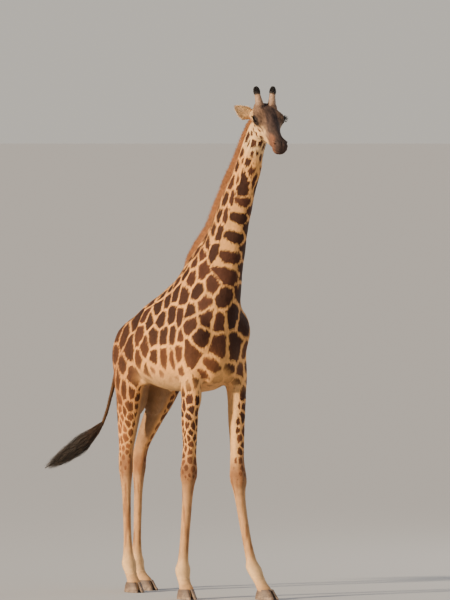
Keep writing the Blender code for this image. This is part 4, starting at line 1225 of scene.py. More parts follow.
def coat_material(name, bumpy):
    """Cells about seeds: a patch where the nearest seed is nearer than the next by a margin.

    The three distances are each made ragged by noise first. A patch also ends at its reach, and it is
    darker in the middle; each has its own tone, from its seed's tag.
    """
    look, tree, shader = new_material(name)
    root = read(tree, "root").outputs["Vector"]
    stretched = vector_calc(tree, "MULTIPLY", root, (1.0, 1.0, 0.50))
    near = parts(tree, read(tree, "near").outputs["Vector"])
    tag = parts(tree, read(tree, "tag").outputs["Vector"])
    share, line, strand = parts(tree, read(tree, "extent").outputs["Vector"])
    ragged = read(tree, "stray").outputs["Fac"]
    away = []
    for distance, mark in zip(near, tag):
        place = vector_calc(tree, "ADD", stretched, calc(tree, "MULTIPLY", mark, TAG_SHIFT))
        stray = calc(tree, "SUBTRACT", noise_of(tree, place, 34.0, 3.0, 0.66), 0.5)
        away.append(calc(tree, "MULTIPLY_ADD", stray, ragged, distance))
    low = calc(tree, "MINIMUM", away[0], away[1])
    high = calc(tree, "MAXIMUM", away[0], away[1])
    first = calc(tree, "MINIMUM", low, away[2])
    second = calc(tree, "MAXIMUM", low, calc(tree, "MINIMUM", high, away[2]))
    margin = calc(tree, "MULTIPLY", calc(tree, "SUBTRACT", second, first), 0.5)
    inside = ramp(tree, margin, calc(tree, "SUBTRACT", line, EDGE), calc(tree, "ADD", line, EDGE))
    reach = calc(tree, "SUBTRACT", read(tree, "reach").outputs["Fac"], first)
    inside = calc(tree, "MULTIPLY", inside, ramp(tree, reach, -REACH_EDGE, REACH_EDGE))
    centre = ramp(tree, margin, line, calc(tree, "ADD", line, CENTRE_DEPTH))
    own = mixed(tree, calc(tree, "LESS_THAN", away[1], away[0]), tag[0], tag[1])
    own = mixed(tree, calc(tree, "LESS_THAN", away[2], low), own, tag[2])
    tone = ramp(tree, parts(tree, own)[0], 0.0, 1.0, 0.72, 1.30)
    tone = calc(tree, "MULTIPLY", tone, ramp(tree, centre, 0.0, 1.0, 1.25, 0.88))
    cloud = ramp(tree, noise_of(tree, root, 38.0, 4.0, 0.6), 0.25, 0.75, 0.84, 1.16)
    patch = vector_calc(tree, "SCALE", read(tree, "patch").outputs["Color"])
    link(tree, calc(tree, "MULTIPLY", tone, cloud), patch.node.inputs["Scale"])
    ground = vector_calc(tree, "SCALE", read(tree, "ground").outputs["Color"])
    link(tree, ramp(tree, noise_of(tree, root, 17.0, 4.0, 0.6), 0.25, 0.75, 0.86, 1.12),
         ground.node.inputs["Scale"])
    colour = mixed(tree, calc(tree, "MULTIPLY", inside, share), ground, patch)
    final = vector_calc(tree, "SCALE", colour)
    link(tree, ramp(tree, strand, 0.0, 1.0, 0.86, 1.14), final.node.inputs["Scale"])
    link(tree, final, shader.inputs["Base Color"])
    shader.inputs["Roughness"].default_value = 0.78
    shader.inputs["Specular IOR Level"].default_value = 0.25
    if bumpy:
        place = vector_calc(tree, "MULTIPLY", object_place(tree), (1.0, 1.0, 0.25))
        relief(tree, shader, noise_of(tree, place, 420.0, 3.0, 0.7), 0.0008, 0.6)
    return look


def place_piece(name, mesh, look, slot, *nodes):
    """A finished piece, riding on the one body, that stands for these nodes."""
    mesh.name = name
    mesh.materials.clear()
    mesh.materials.append(look)
    piece = bpy.data.objects.new(name, mesh)
    bpy.context.scene.collection.objects.link(piece)
    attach(piece, "root")
    if nodes:
        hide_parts(*nodes)
    return piece


# ================================ coat ============================================================
def lie_of_hair(p, normals):
    """Unit vectors along the skin: down the neck and legs, back and down the trunk, up the face."""
    trunk_way = body_direction(-0.75, 0.0, -0.60)[None, :]
    leg_way = body_direction(0.0, 0.0, -1.0)[None, :]
    way = trunk_way + p.leg[:, None] * (leg_way - trunk_way)
    way = way + p.neck[:, None] * (-neck_axis(p.along_neck) - way)
    way = way + p.head[:, None] * (-HEAD_AXES[0][None, :] - way)
    for name, (_, axis, _) in EARS.items():
        own = p.ear * (p.l * (1 if name == "ear_left" else -1) > 0)
        way = way + own[:, None] * (body_direction(*axis)[None, :] - way)
    way = way + 0.22 * np.stack([noise(p.points, 5.0, 3.0 * k) for k in range(3)], -1)
    return unit(way - np.einsum("nj,nj->n", way, normals)[:, None] * normals)


# one tuft: root left and right, middle left, right and top, tip
TUFT_FACES = np.array([
    (0, 3, 1), (0, 2, 3), (2, 5, 3), (0, 4, 2), (0, 1, 4), (1, 3, 4), (2, 4, 5), (4, 3, 5),
])
PATCH_RADIUS = 0.0015  # of a tuft's or a lock's own spot in its unwrap
TUFT_PATCH = np.array(((-1, -1), (1, -1), (-1, 0), (1, 0), (0, 0), (0, 1))) * PATCH_RADIUS


def in_margin(u, v):
    """Places of an unwrap from 0 to 1, drawn in a little from its border."""
    return np.stack((u, v), 1) * 0.96 + 0.02


def bake_map(mesh, spots):
    """Writes the unwrap OFBake from one spot for each vertex."""
    loops = np.empty(len(mesh.loops), np.int32)
    mesh.loops.foreach_get("vertex_index", loops)
    layer = mesh.uv_layers.new(name="OFBake")
    layer.data.foreach_set("uv", spots[loops].astype(np.float32).ravel())


def tuft_points(root, normal, way, length, width, rise, thick, draw):
    """Slim closed blades: each starts under the skin, swells to its middle and ends in a tip."""
    side = np.cross(way, normal)
    turn = draw.normal(0.0, 0.16, len(root))[:, None]
    way = unit(way + turn * side)
    side = np.cross(way, normal)
    length, width, rise, thick = (x[:, None] for x in (length, width, rise, thick))
    foot = root - 0.0010 * normal
    half = 0.5 * width * side
    mid = root + 0.45 * length * way + 0.40 * rise * normal
    tip = root + length * way + rise * normal + 0.10 * length * turn * side
    return np.stack((foot - 0.8 * half, foot + 0.8 * half, mid - half, mid + half,
                     mid + thick * normal, tip), 1)


def skin_samples(mesh, density, count, draw):
    """Even places on the skin's triangles: vertex indices and shares, as many as the density asks."""
    mesh.calc_loop_triangles()
    corners = np.empty(len(mesh.loop_triangles) * 3, np.int32)
    mesh.loop_triangles.foreach_get("vertices", corners)
    corners = corners.reshape(-1, 3)
    points = points_of(mesh)
    a, b, c = (points[corners[:, k]] for k in range(3))
    area = 0.5 * np.linalg.norm(np.cross(b - a, c - a), axis=1)
    total = np.cumsum(area * density[corners].mean(1))
    at = (np.arange(count) + draw.random(count)) / count * total[-1]
    chosen = np.clip(np.searchsorted(total, at), 0, len(corners) - 1)
    u, v = np.sqrt(draw.random(count)), draw.random(count)
    share = np.stack((1 - u, u * (1 - v), u * v), 1)
    return corners[chosen], share


def unwrap_head(p):
    """Angle round the head and place along it."""
    return np.arctan2(p.s, p.c + 0.02) / (2 * math.pi) + 0.5, (p.a + 0.06) / 0.66


def unwrap_neck(p):
    """Angle from throat to nape and height, leaning with the neck."""
    return p.turn / 180.0, (p.f * 0.45 + p.z - 2.1) / 2.5


def unwrap_trunk(p):
    """Place along the trunk and angle from its back to its belly."""
    return (p.f + 1.55) / 1.95, np.arctan2(np.abs(p.l), p.z - 2.2) / math.pi


def unwrap_legs(p):
    """Angle round the leg, the right one in the left half, and height."""
    centre = np.where(p.fore, 0.1, -1.3)
    near = np.where(p.l > 0, 0.75, 0.25)
    angle = np.arctan2(p.f - centre, np.abs(p.l) - 0.2) / (2 * math.pi)
    return near + 0.5 * angle, p.z / 2.05


def coat_sizes(p):
    """Length, width, rise of the tip and thickness of the tufts: smallest on face and feet."""
    length = 0.024 * np.ones(len(p.f))
    length += p.leg * (np.interp(p.z, (0.1, 0.5, 1.2, 1.8), (0.010, 0.012, 0.016, 0.022)) - length)
    face = np.interp(p.a, (-0.05, 0.10, 0.35, 0.55), (0.020, 0.013, 0.009, 0.006))
    length += p.head * (face - length)
    length += p.tail * (0.014 - length)
    width = 0.10 * length + 0.0014
    rise = np.minimum(0.0012 + 0.035 * length, np.where(p.head > 0.5, 0.0014, 0.0030))
    return length, width, rise, 0.0003 + 0.010 * length


def coat_piece(name, mesh, normals, density, count, unwrap, seeds, look):
    """One piece of the coat: tufts over a region of the skin, marked by their roots."""
    draw = np.random.default_rng(sum(map(ord, name)))
    corners, share = skin_samples(mesh, density, count // (1), draw)
    points = points_of(mesh)
    root = np.einsum("nk,nkj->nj", share, points[corners])
    normal = unit(np.einsum("nk,nkj->nj", share, normals[corners]))
    p = Places(root)
    length, width, rise, thick = coat_sizes(p)
    grow = draw.uniform(0.75, 1.25, len(root))
    rise = rise * draw.uniform(0.6, 1.4, len(root))
    blades = tuft_points(root, normal, lie_of_hair(p, normal), length * grow, width, rise, thick,
                         draw)
    n = len(root)
    faces = (TUFT_FACES + 6 * np.arange(n)[:, None, None]).reshape(-1, 3)
    made = mesh_of(blades.reshape(-1, 3), faces)
    lean = unit(normal + 0.16 * draw.normal(0.0, 1.0, normal.shape))
    made.normals_split_custom_set_from_vertices(np.repeat(lean, 6, 0).astype(np.float32))
    many = Places(np.repeat(root, 6, 0))
    mark_points(made, many, np.repeat(draw.random(n), 6))
    near = seeds.nearest(root, 3)
    away = seeds.distance(root, near) * patch_width(p)[:, None]
    attribute(made, "near", "FLOAT_VECTOR", "POINT", np.repeat(away, 6, 0))
    attribute(made, "tag", "FLOAT_VECTOR", "POINT", np.repeat(seeds.tag[near], 6, 0))
    bake_map(made, (in_margin(*unwrap(p))[:, None] + TUFT_PATCH).reshape(-1, 2))
    return place_piece(name, made, look, "coat")


LOCKS = {"mane": (4500, 9200), "tail": (900, 2900), "horn": (1300, 3000), "ear": (400, 1100)}


def lock_count(part):
    """How many locks this part has."""
    return LOCKS[part][1]


def ray_about(tangent, angle, aside=ASIDE):
    """A direction square to each tangent, and the one that lies at an angle from it."""
    first = unit(np.cross(tangent, aside))
    ray = np.cos(angle)[:, None] * first + np.sin(angle)[:, None] * np.cross(first, tangent)
    return first, ray


def lock_points(root, way, bend, across, length, width, waves, steps, draw):
    """Slim three-sided locks along curves: root + length (way t + bend t^2) + a side wave."""
    n = len(root)
    t = np.linspace(0.0, 1.0, steps + 1)[None, :, None]
    phase = draw.uniform(0.0, 2 * math.pi, (n, 1, 1))
    size = length[:, None, None]
    wave = waves * size * t * np.sin(phase + 2 * math.pi * 1.3 * t) * across[:, None]
    line = root[:, None] + size * (way[:, None] * t + bend[:, None] * t * t) + wave
    tangent = unit(np.gradient(line, axis=1))
    side = unit(np.cross(tangent, np.cross(across[:, None], tangent)))
    other = np.cross(side, tangent)
    taper = np.clip(1.02 - t, 0.0, 1.0) ** 0.55 * np.minimum(1, 0.55 + 3 * t)
    thin = (width[:, None, None] / 2) * taper
    rings = []
    for corner in range(3):
        angle = 2 * math.pi * corner / 3
        rings.append(line + thin * (math.cos(angle) * side + 0.45 * math.sin(angle) * other))
    points = np.stack(rings, 2)[:, :-1].reshape(n, -1, 3)
    return np.concatenate((points, line[:, -1:]), 1)


def lock_faces(steps):
    """Triangles of one lock: a closed foot, sides between its rings and a point at the tip."""
    faces = [(0, 2, 1)]
    for row in range(steps - 1):
        for k in range(3):
            a, b = 3 * row + k, 3 * row + (k + 1) % 3
            faces += [(a, b, b + 3), (a, b + 3, a + 3)]
    tip, last = 3 * steps, 3 * (steps - 1)
    faces += [(last + k, last + (k + 1) % 3, tip) for k in range(3)]
    return np.array(faces)


def locks(root, way, bend, across, length, width, waves, steps, colours, unwrap, draw,
          core=None, core_colour=None):
    """A mesh of locks, with a colour for each and an unwrap for their roots; core goes inside."""
    n = len(root)
    points = lock_points(root, way, bend, across, length, width, waves, steps, draw)
    each = points.shape[1]
    faces = (lock_faces(steps) + each * np.arange(n)[:, None, None]).reshape(-1, 3)
    points = points.reshape(-1, 3)
    shade = np.repeat(colours, each, 0)
    ring = np.linspace(0.0, 2 * math.pi, each, endpoint=False)
    ring = PATCH_RADIUS * np.stack((np.cos(ring), np.sin(ring)), 1)
    spots = (in_margin(*unwrap)[:, None] + ring).reshape(-1, 2)
    if core is not None:
        core_points = points_of(core)
        core_faces = np.array([q.vertices[:] for q in core.polygons])
        faces = np.concatenate((faces, core_faces + len(points)))
        points = np.concatenate((points, core_points))
        core_shade = np.broadcast_to(core_colour, core_points.shape)
        shade = np.concatenate((shade, core_shade))
        low, high = core_points.min(0), core_points.max(0)
        flat = (core_points - low) / (high - low)
        spots = np.concatenate((spots, in_margin(flat[:, 1], flat[:, 2])))
    mesh = mesh_of(points, faces)
    attribute(mesh, "shade", "FLOAT_COLOR", "POINT", with_alpha(shade))
    bake_map(mesh, spots)
    return mesh


def hair_material():
    """Hair whose colour is kept on its points, a little streaked."""
    look, tree, shader = new_material("hair")
    cloud = ramp(tree, noise_of(tree, object_place(tree), 60.0, 3.0), 0.25, 0.75, 0.80, 1.20)
    colour = vector_calc(tree, "SCALE", read(tree, "shade").outputs["Color"])
    link(tree, cloud, colour.node.inputs["Scale"])
    link(tree, colour, shader.inputs["Base Color"])
    shader.inputs["Roughness"].default_value = 0.6
    shader.inputs["Specular IOR Level"].default_value = 0.25
    return look


def tones(colour, other, share, draw, stray=0.25):
    """Colours between two, each lighter or darker by chance."""
    tone = draw.uniform(1 - stray, 1 + stray, (len(share), 1))
    return (colour + (other - colour) * share[:, None]) * tone


def nape(share):
    """Points of the nape, the way out of it and the way up along it, by share of its length."""
    table = at_places(np.arange(len(NECK), dtype=float), NECK, share * (len(NECK) - 1))
    nf, nz, tf, tz, left = table[:, :5].T
    at = body_point(nf, left, nz)
    out = unit(at - body_point(tf, left, tz))
    return at, out, neck_axis(share)


def ear_fringe(name, look):
    """Long pale hairs along both edges of an ear, densest low down and inside."""
    draw = np.random.default_rng(61)
    base, axis, opening = EARS[name]
    rings, sides = 120, 40
    surface = ear_rings(base, axis, opening, rings, sides, EAR_THINNESS)
    count = lock_count("ear")
    place = draw.beta(1.1, 1.5, count) * 0.96
    row = (place * (rings - 1)).astype(int)
    edge = np.where(draw.random(count) < 0.5, 0, sides // 2)
    turn = (edge + draw.integers(-4, 5, count)) % sides
    root = surface[row, turn]
    along = body_direction(*axis)
    out = unit(root - surface[row].mean(1))
    face = unit(np.cross(np.cross(along, body_direction(*opening)), along))
    way = unit(0.75 * along + 0.55 * out + 0.22 * face + 0.12 * draw.normal(0, 1, (count, 3)))
    length = draw.uniform(0.016, 0.034, count) * (1.2 - 0.8 * place)
    colours = tones(PALE * 0.95, EAR_BACK, draw.random(count) * 0.5, draw)
    mesh = locks(root, way, -0.15 * face + 0 * way, np.repeat(along[None], count, 0), length,
                 np.full(count, 0.0017), 0.02, 4, colours, (turn / sides, place), draw)
    return place_piece(name + "_fringe", mesh, look, "coat")


def mane(look):
    """A stiff crest: an upright blade along the nape and short hairs that stand out of it."""
    draw = np.random.default_rng(31)
    sections = 160
    share, height, half = spread(MANE, sections).T
    at, out, up = nape(share)
    left = body_direction(0.0, 1.0, 0.0)
    c, s = oval(20, np.full(sections, 2.0), np.full(sections, 2.0))
    lift = (s + 1) / 2 * (height * 0.90 + 0.02)[:, None] - 0.02
    width = half[:, None] * c * (1.05 - 0.55 * (s + 1) / 2)
    core = loft(at[:, None] + lift[..., None] * out[:, None] + width[..., None] * left)
    count = lock_count("mane")
    where = draw.uniform(MANE[0, 0] + 0.02, 0.985, count)
    height, half = at_places(MANE[:, 0], MANE[:, 1:], where).T
    base, out, up = nape(where)
    aside = draw.uniform(-1.0, 1.0, count)
    low = draw.uniform(0.0, 0.45, count)
    root = base + (low * height)[:, None] * out + (aside * half * (1 - 0.5 * low))[:, None] * left
    way = unit(out + 0.10 * aside[:, None] * left - 0.22 * up
               + 0.10 * draw.normal(0.0, 1.0, (count, 3)))
    length = np.maximum((1 - low) * height * draw.uniform(0.90, 1.12, count), 0.01)
    ends = 0.6 * step(0.95, 1.2, low + draw.uniform(0.0, 0.8, count))
    colours = tones(MANE_COLOUR * 1.05, MANE_COLOUR * (0.55, 0.5, 0.5), ends, draw)
    band = 0.92 + 0.16 * noise(root, 16.0) + 0.08 * noise(root, 60.0)
    colours = colours * band[:, None]
    mesh = locks(root, way, -0.10 * up, up, length, np.full(count, 0.0047), 0.03, 3, colours,
                 ((aside + 1) / 2, where), draw, core, MANE_COLOUR * 0.8)
    return place_piece("mane_hair", mesh, look, "mane_hair", "mane")


def tail_tuft(look):
    """The black tuft: locks that start along the tail's end and sweep with it to a ragged point."""
    draw = np.random.default_rng(32)
    sections = 80
    line = spread(TAIL_TUFT, sections)
    path = body_point(*line[:, :3].T)
    radius = line[:, 3]
    inner = np.maximum(radius * 0.42 * np.linspace(1.0, 0.15, sections), 0.004)
    core = tube(path, inner, 16)
    tangent = unit(np.gradient(path, axis=0))
    count = lock_count("tail")
    start = draw.beta(1.0, 1.6, count) * 0.80
    i = (start * (sections - 1)).astype(int)
    angle = draw.uniform(0.0, 2 * math.pi, count)
    _, ray = ray_about(tangent[i], angle, (0.3, -1.0, 0.2))
    clump = noise(path[i] + 0.12 * ray, 13.0, 4.0)
    deep = draw.uniform(0.15, 1.0, count) * np.clip(0.84 + 0.34 * clump, 0.5, 1.1)
    root = path[i] + (inner[i] * 0.8)[:, None] * ray
    total = np.linalg.norm(path[-1] - path[0])
    length = draw.uniform(0.22, 0.50, count)
    length = np.minimum(length, draw.uniform(0.74, 1.01, count) - start) * total
    length = np.maximum(length, 0.05)
    end = np.clip(start + length / total, 0.0, 1.0)
    j = (end * (sections - 1)).astype(int)
    swell = np.maximum(radius[(i + j) // 2] - inner[i], 0.004)
    stray = np.clip(draw.normal(0.0, 0.009, (count, 3)), -0.018, 0.018) * (1 + 0.7 * end[:, None])
    goal = path[j] + (0.85 * radius[j] * deep)[:, None] * ray + stray
    middle = path[(i + j) // 2] + (swell * deep + inner[i])[:, None] * ray
    # each lock is a parabola from its root through the middle to its goal
    way = (4 * middle - 3 * root - goal) / length[:, None]
    bend = (goal - root) / length[:, None] - way
    colours = tones(TUFT_BLACK, TUFT_BROWN, draw.random(count) ** 2, draw, 0.35)
    colours = colours + step(0.25, 0.0, start)[:, None] * 0.10 * MANE_COLOUR
    mesh = locks(root, way, bend, unit(np.cross(ray, tangent[i])), length,
                 draw.uniform(0.0032, 0.0066, count), 0.045, 7, colours,
                 (angle / (2 * math.pi), start), draw, core, TUFT_CORE)
    return place_piece("tail_hair", mesh, look, "tail_hair", "tail_tuft")


def horn(name, side, look):
    """One horn: a tube along its table, with a short-haired stalk and a cap of stiff black hairs."""
    draw = np.random.default_rng(41 + side)
    rings, sides = 90, 48
    along, left, crown, radius = spread(HORN, rings).T
    line = head_point(along, side * left, crown)
    core = tube(line, radius - 0.0025, sides)
    core_points = points_of(core)
    core_points += (0.0010 * noise(core_points, 70.0))[:, None] * normals_of(core)
    move_points(core, core_points)
    at = np.minimum(np.arange(len(core_points)) // sides, rings - 1) / (rings - 1)
    shade = FACE + (STALK - FACE) * step(0.0, 0.30, at)[:, None]
    shade = blend(shade, CAP, step(0.42, 0.52, at))
    tangent = unit(np.gradient(line, axis=0))
    count = lock_count("horn")
    place = np.clip(1 - draw.beta(1.0, 1.3, count) * 0.97, 0.0, 0.985)
    i = (place * (rings - 1)).astype(int)
    angle = draw.uniform(0.0, 2 * math.pi, count)
    first, ray = ray_about(tangent[i], angle)
    root = line[i] + (radius[i] - 0.0035)[:, None] * ray
    top = step(0.40, 0.56, place)
    way = unit(tangent[i] + (0.10 + 0.14 * top)[:, None] * ray
               + 0.16 * draw.normal(0.0, 1.0, (count, 3)))
    length = (0.007 + 0.0065 * top) * draw.uniform(0.7, 1.25, count)
    base = FACE + (STALK - FACE) * step(0.0, 0.30, place)[:, None]
    colours = blend(base, CAP, step(0.42, 0.54, place + 0.04 * noise(root, 60.0)))
    colours = colours * draw.uniform(0.8, 1.2, (count, 1))
    mesh = locks(root, way, -0.12 * ray, first, length, np.full(count, 0.0027), 0.02, 3, colours,
                 (angle / (2 * math.pi), place), draw, core, shade)
    return place_piece(name + "_hair", mesh, look, "ossicone", name)


def eye(name, side, look):
    """A dark glossy ball."""
    along, left, crown = ball((EYE_RADIUS, EYE_RADIUS, EYE_RADIUS), 64, 40)
    mesh = loft(head_point(EYE_AT[0] + along, side * EYE_AT[1] + left, EYE_AT[2] + crown))
    return place_piece(name + "_ball", mesh, look, "eye", name)


def eye_material():
    """Nearly black brown and glossy."""
    look, _, shader = new_material("eye")
    shader.inputs["Base Color"].default_value = (0.012, 0.006, 0.004, 1.0)
    shader.inputs["Roughness"].default_value = 0.10
    shader.inputs["Specular IOR Level"].default_value = 0.22
    return look


# height of the lids' edges above the eye's middle, as angles in degrees, from front to back corner
LID_EDGES = ((4.0, 30.0, 38.0, 30.0, 2.0), (-4.0, -20.0, -27.0, -20.0, -4.0))
LID_SPAN = 74.0  # degrees from the eye's middle to a corner
LID_BACKS = (88.0, -80.0)  # the angles at which they end inside the socket
LID_RIM = 0.15  # share of a lid that is its rolled rim
LASHES = 170


def lid_edge(across, upper):
    """The angle of a lid's edge at places from -1 at the front corner to 1 at the back one."""
    return np.interp(across, np.linspace(-1, 1, 5), LID_EDGES[0 if upper else 1])


def lid(side, upper, rings=28, columns=60):
    """A lid: a part of a ball just over the eye, from its rolled rim back into the socket."""
    across = np.linspace(-1.0, 1.0, columns)
    edge = lid_edge(across, upper)
    lon = np.radians(across * LID_SPAN)
    t = np.linspace(0.0, 1.0, rings)[:, None]
    past_rim = np.maximum(t - LID_RIM, 0.0) / (1 - LID_RIM)
    lat = np.radians(edge[None, :] + (LID_BACKS[0 if upper else 1] - edge)[None, :] * past_rim)
    roll = np.minimum(t / LID_RIM, 1.0)
    radius = EYE_RADIUS + 0.0002 + 0.0034 * np.sin(roll * math.pi / 2)
    radius = radius - 0.0030 * np.maximum(t - 0.5, 0)
    radius = radius + 0.0008 * np.sin(t * 22.0) * (t > LID_RIM)
    along = radius * np.sin(lon)[None, :] * np.cos(lat)
    out = radius * np.cos(lon)[None, :] * np.cos(lat)
    up = radius * np.sin(lat)
    outer = head_point(EYE_AT[0] + along, side * (EYE_AT[1] + out), EYE_AT[2] + up)
    under = (EYE_RADIUS - 0.0035) / radius
    inner = head_point(EYE_AT[0] + along * under, side * (EYE_AT[1] + out * under),
                       EYE_AT[2] + up * under)
    return outer, inner


def sheet(outer, inner):
    """A closed shell between two grids of points, stitched around its border: points, triangles."""
    rows, columns = outer.shape[:2]
    low = rows * columns
    i = np.arange(low).reshape(rows, columns)
    a, b, c, d = i[:-1, :-1], i[:-1, 1:], i[1:, 1:], i[1:, :-1]
    face = np.concatenate([np.stack(x, -1).reshape(-1, 3) for x in ((a, b, c), (a, c, d))])
    back = face[:, ::-1] + low
    rim = np.concatenate((i[0, :-1], i[:-1, -1], i[-1, :0:-1], i[:0:-1, 0]))
    after = np.roll(rim, -1)
    wall = np.concatenate((np.stack((after, rim, rim + low), 1),
                           np.stack((after, rim + low, after + low), 1)))
    points = np.concatenate((outer.reshape(-1, 3), inner.reshape(-1, 3)))
    return points, np.concatenate((face, back, wall))


def lids(name, side, look):
    """Both lids of an eye and its long lashes, as one piece."""
    draw = np.random.default_rng(51 + side)
    points, faces = sheet(*lid(side, True))
    more_points, more_faces = sheet(*lid(side, False))
    faces = np.concatenate((faces, more_faces + len(points)))
    if side < 0:
        faces = faces[:, ::-1]
    core = mesh_of(np.concatenate((points, more_points)), faces)
    count = LASHES
    across = draw.uniform(-0.8, 0.8, count)
    lon, lat = np.radians(across * LID_SPAN), np.radians(lid_edge(across, True) + 3.0)
    ball_way = np.stack((np.sin(lon) * np.cos(lat), side * np.cos(lon) * np.cos(lat), np.sin(lat)), 1)
    root = head_point(*(EYE_AT * (1, side, 1) + (EYE_RADIUS + 0.0015) * ball_way).T)
    out = unit(ball_way @ HEAD_AXES)
    way = unit(out + 0.35 * HEAD_AXES[0] * across[:, None] - 0.45 * HEAD_AXES[2])
    mesh = locks(root, way, 0.25 * HEAD_AXES[2] + 0 * way, np.repeat(HEAD_AXES[:1], count, 0),
                 draw.uniform(0.026, 0.040, count), np.full(count, 0.0016), 0.01, 5,
                 np.repeat(LASH[None], count, 0), ((across + 1) / 2, draw.random(count)), draw,
                 core, NOSE * 0.75)
    return place_piece(name, mesh, look, "coat")


def claw(foot, side, rings=44, sides=64):
    """One claw of a hoof: level ovals from the sole up, ringed by growth, drawn in at the toe."""
    forward, left, turn = foot
    height = np.concatenate(((0.0, 0.0015), np.linspace(0.005, CLAW[-1, 0], rings)))
    heel, toe, inner, outer = (x[:, None] for x in at_places(CLAW[:, 0], CLAW[:, 1:], height).T)
    tuck = np.where(height < 0.001, 0.0020, 0.0)[:, None]  # a small bevel round the sole
    growth = 0.0007 * np.sin(height * 2 * math.pi / 0.0095 + 0.8 * np.sin(height * 90.0))
    growth = (growth * step(0.004, 0.012, height))[:, None]
    c, s = oval(sides, np.full(len(height), 2.4), np.full(len(height), 2.4))
    u = (heel + toe) / 2 + ((toe - heel) / 2 - tuck + growth) * c
    v = (inner + outer) / 2 + ((outer - inner) / 2 - tuck + growth) * s
    front = np.clip((u - heel) / (toe - heel), 0.0, 1.0) ** 3
    v = inner + (v - inner) * (1 - TOE_POINT * front)
    out = math.radians(turn) * (1 if left > 0 else -1)
    across = side * v
    return loft(body_point(forward + u * math.cos(out) - across * math.sin(out),
                           left + u * math.sin(out) + across * math.cos(out),
                           height[:, None] + 0 * u))


def hoof_material():
    """Grey-brown horn with darker growth bands and pale dust towards the sole."""
    look, tree, shader = new_material("hoof")
    place = object_place(tree)
    height = parts(tree, place)[2]
    bands = vector_calc(tree, "MULTIPLY", place, (6.0, 6.0, 130.0))
    streaks = vector_calc(tree, "MULTIPLY", place, (220.0, 220.0, 14.0))
    horn_brown = mixed(tree, ramp(tree, noise_of(tree, bands, 1.0, 3.0), 0.3, 0.7),
                       (0.060, 0.036, 0.024, 1.0), (0.130, 0.080, 0.052, 1.0))
    streaked = mixed(tree, ramp(tree, noise_of(tree, streaks, 1.0, 2.0), 0.35, 0.75, 0.0, 0.5),
                     horn_brown, (0.17, 0.110, 0.072, 1.0))
    patchy = ramp(tree, noise_of(tree, place, 22.0, 4.0, 0.65), 0.35, 0.70)
    dust = calc(tree, "MULTIPLY", ramp(tree, height, 0.075, 0.0, 0.10, 0.85), patchy)
    colour = mixed(tree, dust, streaked, (0.36, 0.245, 0.160, 1.0))
    link(tree, colour, shader.inputs["Base Color"])
    shader.inputs["Roughness"].default_value = 0.62
    relief(tree, shader, noise_of(tree, streaks, 1.0, 3.0), 0.0006, 0.5)
    return look


# ================================ the model =======================================================
skin = with_ears(skin_mesh())
skin_normals = normals_of(skin)
seeds = spread_seeds(points_of(skin))
mark_skin(skin, seeds)
FLESH = ("head", "neck", "trunk", "leg_front_right", "leg_front_left", "leg_hind_right",
         "leg_hind_left", "tail", "ear_right", "ear_left")
place_piece("skin", skin, coat_material("skin", True), "coat", *FLESH)
coat_look = coat_material("coat", False)
p = Places(points_of(skin))
trunk_share = 1 - np.maximum(np.maximum(p.head, p.neck), p.leg)
for name, density, count, unwrap in (
    ("coat_head", (p.head > 0.5) * (1 + 1.5 * step(0.3, 0.5, p.a)), 20000, unwrap_head),
    ("coat_neck_right", (p.neck > 0.5) * (p.l <= 0), 17000, unwrap_neck),
    ("coat_neck_left", (p.neck > 0.5) * (p.l > 0), 17000, unwrap_neck),
    ("coat_trunk_right", (trunk_share >= 0.5) * (p.l <= 0), 20000, unwrap_trunk),
    ("coat_trunk_left", (trunk_share >= 0.5) * (p.l > 0), 20000, unwrap_trunk),
    ("coat_front_legs", (p.leg > 0.5) * p.fore, 18000, unwrap_legs),
    ("coat_hind_legs", (p.leg > 0.5) * ~p.fore, 20000, unwrap_legs),
):
    coat_piece(name, skin, skin_normals, density.astype(float), count, unwrap, seeds, coat_look)
hair_look = hair_material()
mane(hair_look)
tail_tuft(hair_look)
eye_look, hoof_look = eye_material(), hoof_material()
for side, word in ((-1, "right"), (1, "left")):
    horn("horn_" + word, side, hair_look)
    eye("eye_" + word, side, eye_look)
    lids("lids_" + word, side, hair_look)
    ear_fringe("ear_" + word, hair_look)
for name, foot in HOOVES.items():
    for letter, claw_side in (("a", -1), ("b", 1)):
        node = f"{name}_{letter}"
        place_piece(node + "_wall", claw(foot, claw_side), hoof_look, "hoof", node)

# ================================ floor, lights, camera ===========================================
CAMERA_AZIMUTH = math.radians(-30.0)
CAMERA_HEIGHT = math.radians(1.5)
CAMERA_DISTANCE = 80.0
VIEW_MIDDLE = 2.563  # height that the camera looks at
VIEW_ASIDE = 0.387  # how far to the right of the origin it looks
VIEW_TALL = 5.178  # height of the picture there
FLOOR_HALF = 400.0
LIGHTS_AIM = (0.0, 0.0, 2.2)


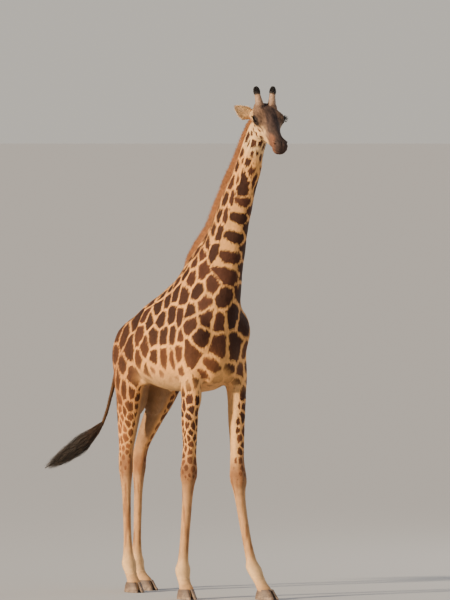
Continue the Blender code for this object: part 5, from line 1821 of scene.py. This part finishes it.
def camera():
    """A far camera with a long lens, low before the animal's right shoulder."""
    a, e = CAMERA_AZIMUTH, CAMERA_HEIGHT
    back = np.array((math.sin(a) * math.cos(e), -math.cos(a) * math.cos(e), math.sin(e)))
    right = np.array((math.cos(a), math.sin(a), 0.0))
    seen = bpy.data.cameras.new("camera")
    thing = bpy.data.objects.new("camera", seen)
    bpy.context.scene.collection.objects.link(thing)
    bpy.context.scene.camera = thing
    thing.location = right * VIEW_ASIDE + np.array((0.0, 0.0, VIEW_MIDDLE)) + back * CAMERA_DISTANCE
    thing.rotation_mode = "QUATERNION"
    thing.rotation_quaternion = Vector(-back).to_track_quat("-Z", "Y")
    seen.sensor_width = 36.0
    seen.lens = 36.0 * CAMERA_DISTANCE / VIEW_TALL
    seen.clip_end = 500.0


def lamp(name, kind, energy, colour, toward, size):
    """A light that shines towards the body from a far place."""
    made = bpy.data.lights.new(name, kind)
    made.energy = energy
    made.color = colour
    if kind == "SUN":
        made.angle = math.radians(size)
    else:
        made.shape = "DISK"
        made.size = size
    thing = bpy.data.objects.new(name, made)
    bpy.context.scene.collection.objects.link(thing)
    thing.location = toward
    aim = Vector(LIGHTS_AIM) - thing.location
    thing.rotation_mode = "QUATERNION"
    thing.rotation_quaternion = aim.to_track_quat("-Z", "Y")


def studio():
    """A pale floor, one broad warm key light on the animal's right and a soft sky."""
    floor = bpy.data.meshes.new("floor")
    w = FLOOR_HALF
    floor.from_pydata([(-w, -w, 0), (w, -w, 0), (w, w, 0), (-w, w, 0)], [], [(0, 1, 2, 3)])
    thing = bpy.data.objects.new("floor", floor)
    bpy.context.scene.collection.objects.link(thing)
    look, _, shader = new_material("floor")
    shader.inputs["Base Color"].default_value = (0.455, 0.455, 0.455, 1.0)
    shader.inputs["Roughness"].default_value = 0.9
    floor.materials.append(look)
    world = bpy.data.worlds.new("sky")
    world.use_nodes = True
    sky = world.node_tree
    up = parts(sky, sky.nodes.new("ShaderNodeTexCoord").outputs["Generated"])[2]
    shade = mixed(sky, ramp(sky, up, 0.0, 0.16), (0.600, 0.560, 0.500, 1.0), (0.300, 0.325, 0.375, 1.0))
    link(sky, shade, sky.nodes["Background"].inputs[0])
    bpy.context.scene.world = world
    lamp("key", "SUN", 8.6, (1.0, 0.82, 0.59), (-12.0, -0.4, 6.2), 5.0)
    lamp("fill", "AREA", 150.0, (0.92, 0.95, 1.0), (2.0, -11.0, 5.0), 6.0)
    lamp("side", "AREA", 420.0, (1.0, 0.94, 0.86), (11.0, 1.0, 5.0), 6.0)


camera()
studio()
